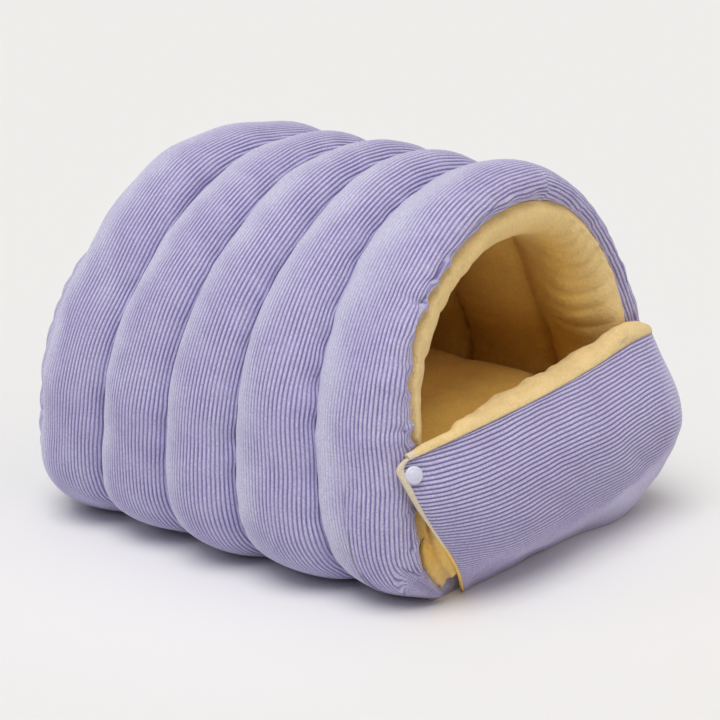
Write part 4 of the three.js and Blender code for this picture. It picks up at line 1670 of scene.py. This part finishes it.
@dataclass
class FrontFlap:
    """The corduroy face of the flap, its ribs lying along it and fanning out from the snap."""

    shape: FlapShape
    rows: int = 215
    columns: int = 330
    hidden_step: int = 10
    sewn_turn: float = 1.8
    sewn_reach: float = 6.0
    corner: float = 11.0
    fan: float = 9.0
    fan_reach: float = 24.0
    kink_run: float = 214.0
    kink: float = 0.6
    calm_edge: tuple[tuple[float, float], ...] = (
        (0.0, 0.34),
        (0.2, 0.41),
        (0.3, 0.49),
        (0.36, 0.58),
        (0.42, 0.64),
        (0.54, 0.67),
        (0.85, 0.68),
        (1.0, 0.71),
    )
    calm_width: float = 0.09
    calm_end: tuple[float, float] = (0.91, 0.83)
    calm_depth: float = 0.12
    plain_edge: float = 2.0
    foot_depth: float = 0.45
    foot_rise: tuple[float, float] = (0.02, 0.14)

    def build(self, wales: WaleTree, material: bpy.types.Material) -> bpy.types.Object:
        """Returns the face as one closed piece."""
        shape = self.shape
        along, up = np.meshgrid(
            np.linspace(0, 1, self.rows + 1) ** 1.1, np.linspace(0, 1, self.columns + 1), indexing="ij"
        )
        placed = shape.tab(along, up, shape.margin(up), self.corner)
        grid = shape.points(placed, up)
        inward = shape.inward(placed, up)
        down = distances(grid[:, ::-1], 1)[:, ::-1]
        run = distances(grid, 0)
        snap = shape.points(np.array([[shape.snap_along]]), np.array([[shape.snap_up]]))[0, 0]
        from_snap = np.linalg.norm(grid - snap, axis=2)
        dent = shape.snap_dent * bell(from_snap, shape.snap_reach)
        soft = ripple(61, run, down, 70, 140) + 0.3 * ripple(62, run, down, 24, 50)
        soft = soft * smooth_step(0, 12, down) * smooth_step(0, 14, run)
        edge_turn = 0.3 * bell(down, 1.5) + 1.2 * bell(run, 2.0)
        edge_turn = edge_turn + self.sewn_turn * bell(run[-1:] - run, self.sewn_reach)
        grid = grid + inward * (dent + soft + edge_turn)[..., None]
        grid[..., 2] = np.maximum(grid[..., 2], 0.0)
        phase = self._ribs(run, down)
        calm = self._calm(placed, up, run, down)
        ends = smooth_step(0.0, self.plain_edge, down) * smooth_step(0.0, self.plain_edge, run)
        foot = mix(self.foot_depth, 1.0, smooth_step(*self.foot_rise, up))
        depth = ends * mix(1.0, self.calm_depth, calm) * foot
        draft = Sewing("front_flap_corduroy")
        # the brushed-out part takes a faint share of the paler colour that paints the channels' highlight
        index = draft.grid(grid, across=phase, depth=depth, laid=0.1 * calm)
        wide, tall = along[:, :: self.hidden_step], up[:, :: self.hidden_step]
        tucked = shape.tab(wide, tall, shape.margin(tall), self.corner)
        draft.close(index, draft.grid(shape.behind(tucked, tall, 0.5)))
        piece = draft.make(material)
        wales.rib(piece, material)
        dress(piece, ClothKind.CORDUROY, "front_flap", 0.6)
        return piece

    def _calm(self, along: np.ndarray, up: np.ndarray, run: np.ndarray, down: np.ndarray) -> np.ndarray:
        """Returns 1 where the ribs are brushed out: the flap's right part and the turn under it."""
        heights, places = np.array(self.calm_edge).T
        start = np.interp(up, heights, places) + 0.012 * ripple(65, run, down, 30, 80)
        calm = smooth_step(-0.3, 1.0, (along - start) / self.calm_width)
        return calm * smooth_step(*self.calm_end, along)

    def _ribs(self, run: np.ndarray, down: np.ndarray) -> np.ndarray:
        """Returns the distance over the ribs: they follow the top edge, and lower down they leave the
        free end level before they turn up along the flap."""
        fan = self.fan * mix(0.5, 1.0, smooth_step(0, 14, down)) * np.exp(-run / self.fan_reach)
        past = run - self.kink_run
        bent = self.kink * np.tanh(past / 7) * bell(past, 34)
        wander = 0.7 * ripple(63, run, down, 80, 180) + 0.2 * ripple(64, run, down, 18, 40)
        return WALE_PITCH / 2 + down + fan + bent + wander


@dataclass
class FlapLining:
    """The flap's fleece: its inner face and the soft roll over the top edge."""

    shape: FlapShape
    rows: int = 190
    face_steps: int = 42
    roll_steps: int = 22
    corner: float = 12.0
    edge_round: float = 5.0
    bead: tuple[float, float] = (0.6, 1.8)
    cut_reach: tuple[float, float] = (7.0, 3.5)
    roll_cut_reach: tuple[float, float] = (9.0, 3.5)
    # painted shade: how the cave's deeper honey fades towards the top of the inner face
    inner_rise: tuple[float, float] = (1.1, 0.82)
    roll_end: tuple[float, float] = (1.0, 0.93)
    cut_rise: tuple[float, float] = (0.38, 0.55)
    far_share: float = 0.984

    def build(self, material: bpy.types.Material) -> bpy.types.Object:
        """Returns the fleece as one closed piece."""
        shape = self.shape
        spread = self.far_share * np.linspace(0, 1, self.rows + 1) ** 1.8
        rise = 1.0 - (1.0 - np.linspace(0, 1, self.face_steps + 1)) ** 1.6
        along, up = np.meshgrid(spread, rise, indexing="ij")
        placed = shape.tab(along, up, 0.0, self.corner)
        edge_along = placed[:, -1:]
        top = np.ones_like(edge_along)
        inward = shape.inward(edge_along, top)
        inward[..., 2] = 0.0
        inward /= np.linalg.norm(inward, axis=2, keepdims=True)
        run = distances(shape.points(placed, up), 0)
        full = smooth_step(-1.0, self.edge_round, run)[..., None]
        margin = shape.margin(up)
        bead = smooth_step(margin + self.bead[1], margin + self.bead[0], run)[..., None]
        hidden = shape.behind(placed, up, 0.5) + inward * WALL_GAP
        shown = shape.behind(placed, up, 1.0) + inward * WALL_GAP
        shown = hidden + (shown - hidden) * full
        face = shape.behind(placed, up, 0.02)
        hidden = hidden + (face - hidden) * bead
        edge = shape.points(edge_along, top)
        radius = (shape.padding(edge_along, top) + WALL_GAP)[..., None] / 2
        roll = shape.fill(edge_along)[..., 2:] * smooth_step(*self.roll_end, edge_along)[..., None]
        share = np.linspace(0, 1, self.roll_steps + 1)[None, 1:, None]
        turn = math.radians(shape.roll_turn) * share
        lap = shape.overhang * np.sin(turn / 2) ** 4
        over = edge + inward * (radius * (1 + np.cos(turn)) - lap)
        over[..., 2] = edge[..., 2] + WALL_GAP + (roll * np.sin(turn) - shape.drop * share**4)[..., 0]
        under = edge + inward * (radius * (1 + (shape.tuck - 1) * share))
        under[..., 2] = edge[..., 2] + WALL_GAP
        grid = self._nap(np.concatenate([shown, over], axis=1))
        grid[..., 2] = np.maximum(grid[..., 2], 1.0)
        cut = np.zeros(grid.shape[:2])
        cut[:, : run.shape[1]] = smooth_step(*self.cut_reach, run) * smooth_step(*self.cut_rise, up)
        cut[:, run.shape[1] :] = smooth_step(*self.roll_cut_reach, run[:, -1:])
        # painted shade: the inner face takes the deeper honey, fading towards its top; the cut edge stays
        # pale
        inside = np.zeros(grid.shape[:2])
        inside[:, : run.shape[1]] = smooth_step(*self.inner_rise, up)
        draft = Sewing("flap_lining_fleece")
        shown_index = draft.grid(grid, inside=inside * (1 - cut), cut=cut)
        back = np.concatenate([hidden, under], axis=1)
        draft.close(shown_index, draft.grid(back, inside=inside * (1 - cut), cut=cut))
        piece = draft.make(material)
        dress(piece, ClothKind.FLEECE, "flap_lining", 0.55)
        return piece

    def _nap(self, grid: Grid) -> Grid:
        """Returns the face with the fleece's soft unevenness."""
        down = distances(grid, 1)
        run = distances(grid, 0)
        normals = grid_normals(grid, lambda g: g * 0 + np.array([0.0, 0.3, 1.0]))
        uneven = 1.2 * ripple(81, run, down, 30, 80) + 0.4 * ripple(82, run, down, 7, 18)
        end = smooth_step(0, 12, down[:, -1:] - down)
        return grid + normals * (uneven * end * smooth_step(0, 10, run))[..., None]


@dataclass
class CornerFold:
    """The fleece tucked into the corner between the mouth's left foot and the flap's free end."""

    tunnel: Tunnel
    shape: FlapShape
    top: float = 74.0
    left_foot: float = 11.0
    right_foot: float = 23.0
    rows: int = 70
    columns: int = 30
    hidden_share: float = 0.35
    valley_at: float = 0.42
    valley: float = 5.0
    valley_width: float = 0.2
    thickness: float = 4.0
    inward: tuple[float, float, float] = (0.77, 0.64, 0.0)
    turned: tuple[float, float] = (30.0, 14.0)
    seat: tuple[float, float] = (2.0, 0.5)
    low_heights: tuple[float, float] = (66.0, 46.0)
    # painted shade: the share of the cave's deeper honey low down and high up, and the heights between
    inside: tuple[float, float] = (0.3, 0.95)
    inside_heights: tuple[float, float] = (12.0, 42.0)

    def build(self, material: bpy.types.Material) -> bpy.types.Object:
        """Returns the fold as one closed piece."""
        left = self._side(self._mouth(self.tunnel.lip[1]), self.left_foot)
        seam = self._side(self._mouth(self.tunnel.front(self.tunnel.front_turn)), self.left_foot)
        low = smooth_step(*self.low_heights, left[:, 2:])
        left = mix(left, seam + np.array([1.5, -1.5, 0.0]), low)
        right = self._side(self._flap(), self.right_foot)
        across = np.linspace(-self.hidden_share, 1 + self.hidden_share, self.columns + 1)[None, :, None]
        valley = self.valley * bell(across - self.valley_at, self.valley_width)
        behind = self.turned[0] * np.clip(-across, 0, 1) ** 1.5
        behind = behind + self.turned[1] * np.clip(across - 1, 0, 1) ** 1.5
        behind = behind + mix(*self.seat, low)[:, None]
        inward = np.array(self.inward)
        grid = mix(left[:, None], right[:, None], across) + inward * (behind + valley)
        run, down = distances(grid, 1), distances(grid, 0)
        grid = grid + inward * (0.5 * ripple(85, run, down, 8, 24))[..., None]
        draft = Sewing("flap_lining_corner_fold")
        # painted shade: the fold takes more of the deeper honey higher up
        inside = mix(*self.inside, smooth_step(*self.inside_heights, grid[..., 2]))
        shown = draft.grid(grid, inside=inside)
        draft.close(shown, draft.grid(grid + inward * self.thickness, inside=inside))
        piece = draft.make(material)
        dress(piece, ClothKind.FLEECE, "flap_lining", 0.4)
        return piece

    def _side(self, line: np.ndarray, foot: float) -> np.ndarray:
        """Returns one side's points from its top down to its foot, taken from a line that rises."""
        z = np.linspace(self.top, foot, self.rows + 1)
        order = np.argsort(line[:, 2])
        return np.stack([*(np.interp(z, line[order, 2], line[order, k]) for k in (0, 1)), z], axis=-1)

    def _mouth(self, section: Section) -> np.ndarray:
        """Returns the left side of a section at the mouth, low down."""
        runs = np.linspace(-1.0, -0.6, 200)
        return self.tunnel.settle(arch_points(runs, [section]), runs)[:, 0]

    def _flap(self) -> np.ndarray:
        """Returns the inner side of the flap's free end."""
        up = np.linspace(0.0, 1.0, 200)[None, :]
        return self.shape.behind(np.zeros_like(up), up, 0.8)[0]


@dataclass
class Snap:
    """The snap's moulded cap on the tab: a low dome with a faint ring round its crown."""

    shape: FlapShape
    radius: float = 6.2
    segments: int = 64
    profile: tuple[tuple[float, float], ...] = (
        (0.0, 0.0),
        (0.97, 0.0),
        (1.0, 0.25),
        (1.0, 0.95),
        (0.97, 1.35),
        (0.9, 1.8),
        (0.8, 2.25),
        (0.72, 2.5),
        (0.68, 2.46),
        (0.65, 2.36),
        (0.61, 2.46),
        (0.57, 2.7),
        (0.42, 3.0),
        (0.22, 3.2),
        (0.0, 3.27),
    )
    lift: float = 0.5
    lean: tuple[float, float, float] = (-0.2, 0.1, 0.0)

    def build(self, material: bpy.types.Material) -> bpy.types.Object:
        """Returns the cap."""
        shape = self.shape
        at = np.array([[shape.snap_along]]), np.array([[shape.snap_up]])
        place = shape.points(*at)[0, 0]
        normal = -shape.inward(*at)[0, 0] + np.array(self.lean)
        normal /= np.linalg.norm(normal)
        turn = Vector((0, 0, 1)).rotation_difference(Vector(normal))
        draft = Sewing("snap_cap_dome")
        angles = np.linspace(0, 2 * math.pi, self.segments + 1)
        rows = []
        for share, height in self.profile:
            reach = share * self.radius
            ring = [Vector((reach * math.cos(a), reach * math.sin(a), height)) for a in angles]
            rows.append([place + np.array(turn @ point) + normal * self.lift for point in ring])
        draft.grid(np.array(rows))
        piece = draft.make(material)
        weld(piece)
        piece.data.shade_smooth()
        dress(piece, ClothKind.SNAP, "snap_cap", None)
        return piece


@dataclass(frozen=True)
class Lamp:
    """A large far lamp: the bearing it shines from and its height, in degrees, its strength and width."""

    name: str
    bearing: float
    height: float
    strength: float
    width: float
    colour: str

    def hang(self) -> None:
        """Adds the lamp."""
        light = bpy.data.lights.new(self.name, "SUN")
        light.energy = self.strength * math.pi
        light.color = linear(self.colour)[:3]
        light.angle = math.radians(self.width)
        bearing, height = math.radians(self.bearing), math.radians(self.height)
        level = math.cos(height)
        source = Vector((level * math.cos(bearing), level * math.sin(bearing), math.sin(height)))
        lamp = bpy.data.objects.new(self.name, light)
        lamp.rotation_mode = "QUATERNION"
        lamp.rotation_quaternion = source.to_track_quat("Z", "Y")
        bpy.context.scene.collection.objects.link(lamp)


@dataclass
class Studio:
    """A plain pale floor, soft light from the upper left and behind, and the photo's camera."""

    floor_colour: str = "#F0F0F0"
    floor_size: float = 80.0
    eye: tuple[float, float, float] = (-918.67, -775.88, 437.24)
    target: tuple[float, float, float] = (-0.2, -4.1, 127.2)
    focal_px: float = 1543.0
    picture_px: float = 720.0
    sensor: float = 36.0
    lamps: tuple[Lamp, ...] = (
        Lamp("key_high_left", 202.0, 66.0, 0.57, 40.0, "#FFFEFD"),
        Lamp("rim_back_left", 150.0, 44.0, 0.09, 40.0, "#F8FAFF"),
        Lamp("fill_front_right", 276.0, 34.0, 0.12, 60.0, "#FFF1DF"),
        Lamp("top_panel", 0.0, 88.0, 0.17, 70.0, "#FFFFFF"),
    )
    sky_strength: float = 0.18
    sky_colour: str = "#FFFBF5"

    def build(self) -> None:
        """Makes the floor, the lights and the camera."""
        self._floor()
        self._lights()
        self._camera()
        bpy.context.scene.view_settings.view_transform = "Standard"

    def _floor(self) -> None:
        """Makes the matte floor."""
        mesh = bpy.data.meshes.new("studio_floor")
        half = self.floor_size / 2
        corners = [(-half, -half, 0), (half, -half, 0), (half, half, 0), (-half, half, 0)]
        mesh.from_pydata(corners, [], [(0, 1, 2, 3)])
        floor = bpy.data.objects.new("studio_floor", mesh)
        bpy.context.scene.collection.objects.link(floor)
        material, tree = new_material("matte_studio_paper")
        shader = add_node(
            tree,
            "ShaderNodeBsdfPrincipled",
            {"Base Color": linear(self.floor_colour), "Roughness": 1.0, "Specular IOR Level": 0.0},
        )
        finish_surface(tree, shader)
        mesh.materials.append(material)

    def _lights(self) -> None:
        """Adds the soft lamps and the even sky."""
        for lamp in self.lamps:
            lamp.hang()
        world = bpy.data.worlds.new("even_sky")
        world.use_nodes = True
        world.node_tree.nodes.clear()
        sky = add_node(
            world.node_tree,
            "ShaderNodeBackground",
            {"Color": linear(self.sky_colour), "Strength": self.sky_strength},
        )
        add_node(world.node_tree, "ShaderNodeOutputWorld", {"Surface": sky.outputs[0]})
        bpy.context.scene.world = world

    def _camera(self) -> None:
        """Adds the camera where the photo was taken from."""
        data = bpy.data.cameras.new("photo_view")
        data.sensor_width = self.sensor
        data.lens = self.focal_px * self.sensor / self.picture_px
        data.clip_end = 200.0
        camera = bpy.data.objects.new("photo_view", data)
        eye, target = Vector(self.eye) * MM, Vector(self.target) * MM
        camera.location = eye
        camera.rotation_mode = "QUATERNION"
        camera.rotation_quaternion = (target - eye).to_track_quat("-Z", "Y")
        bpy.context.scene.collection.objects.link(camera)
        bpy.context.scene.camera = camera


def main() -> None:
    """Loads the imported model, makes every piece around it and sets up the studio."""
    logging.basicConfig(level=logging.INFO, format="%(name)s: %(message)s")
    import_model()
    corduroy, fleece = Corduroy().material(), Fleece().material()
    tunnel, flap, wales = Tunnel(), FlapShape(), WaleTree()
    Studio().build()
    TunnelShell(tunnel).build(wales, corduroy)
    TunnelLining(tunnel).build(fleece)
    BackPanel(tunnel).build(wales, corduroy)
    BackLining(tunnel).build(fleece)
    BasePad(tunnel).build(wales, corduroy)
    FloorCushion(tunnel).build(fleece)
    FrontFlap(flap).build(wales, corduroy)
    FlapLining(flap).build(fleece)
    CornerFold(tunnel, flap).build(fleece)
    Snap(flap).build(SnapPlastic().material())


if __name__ == "__main__":
    main()
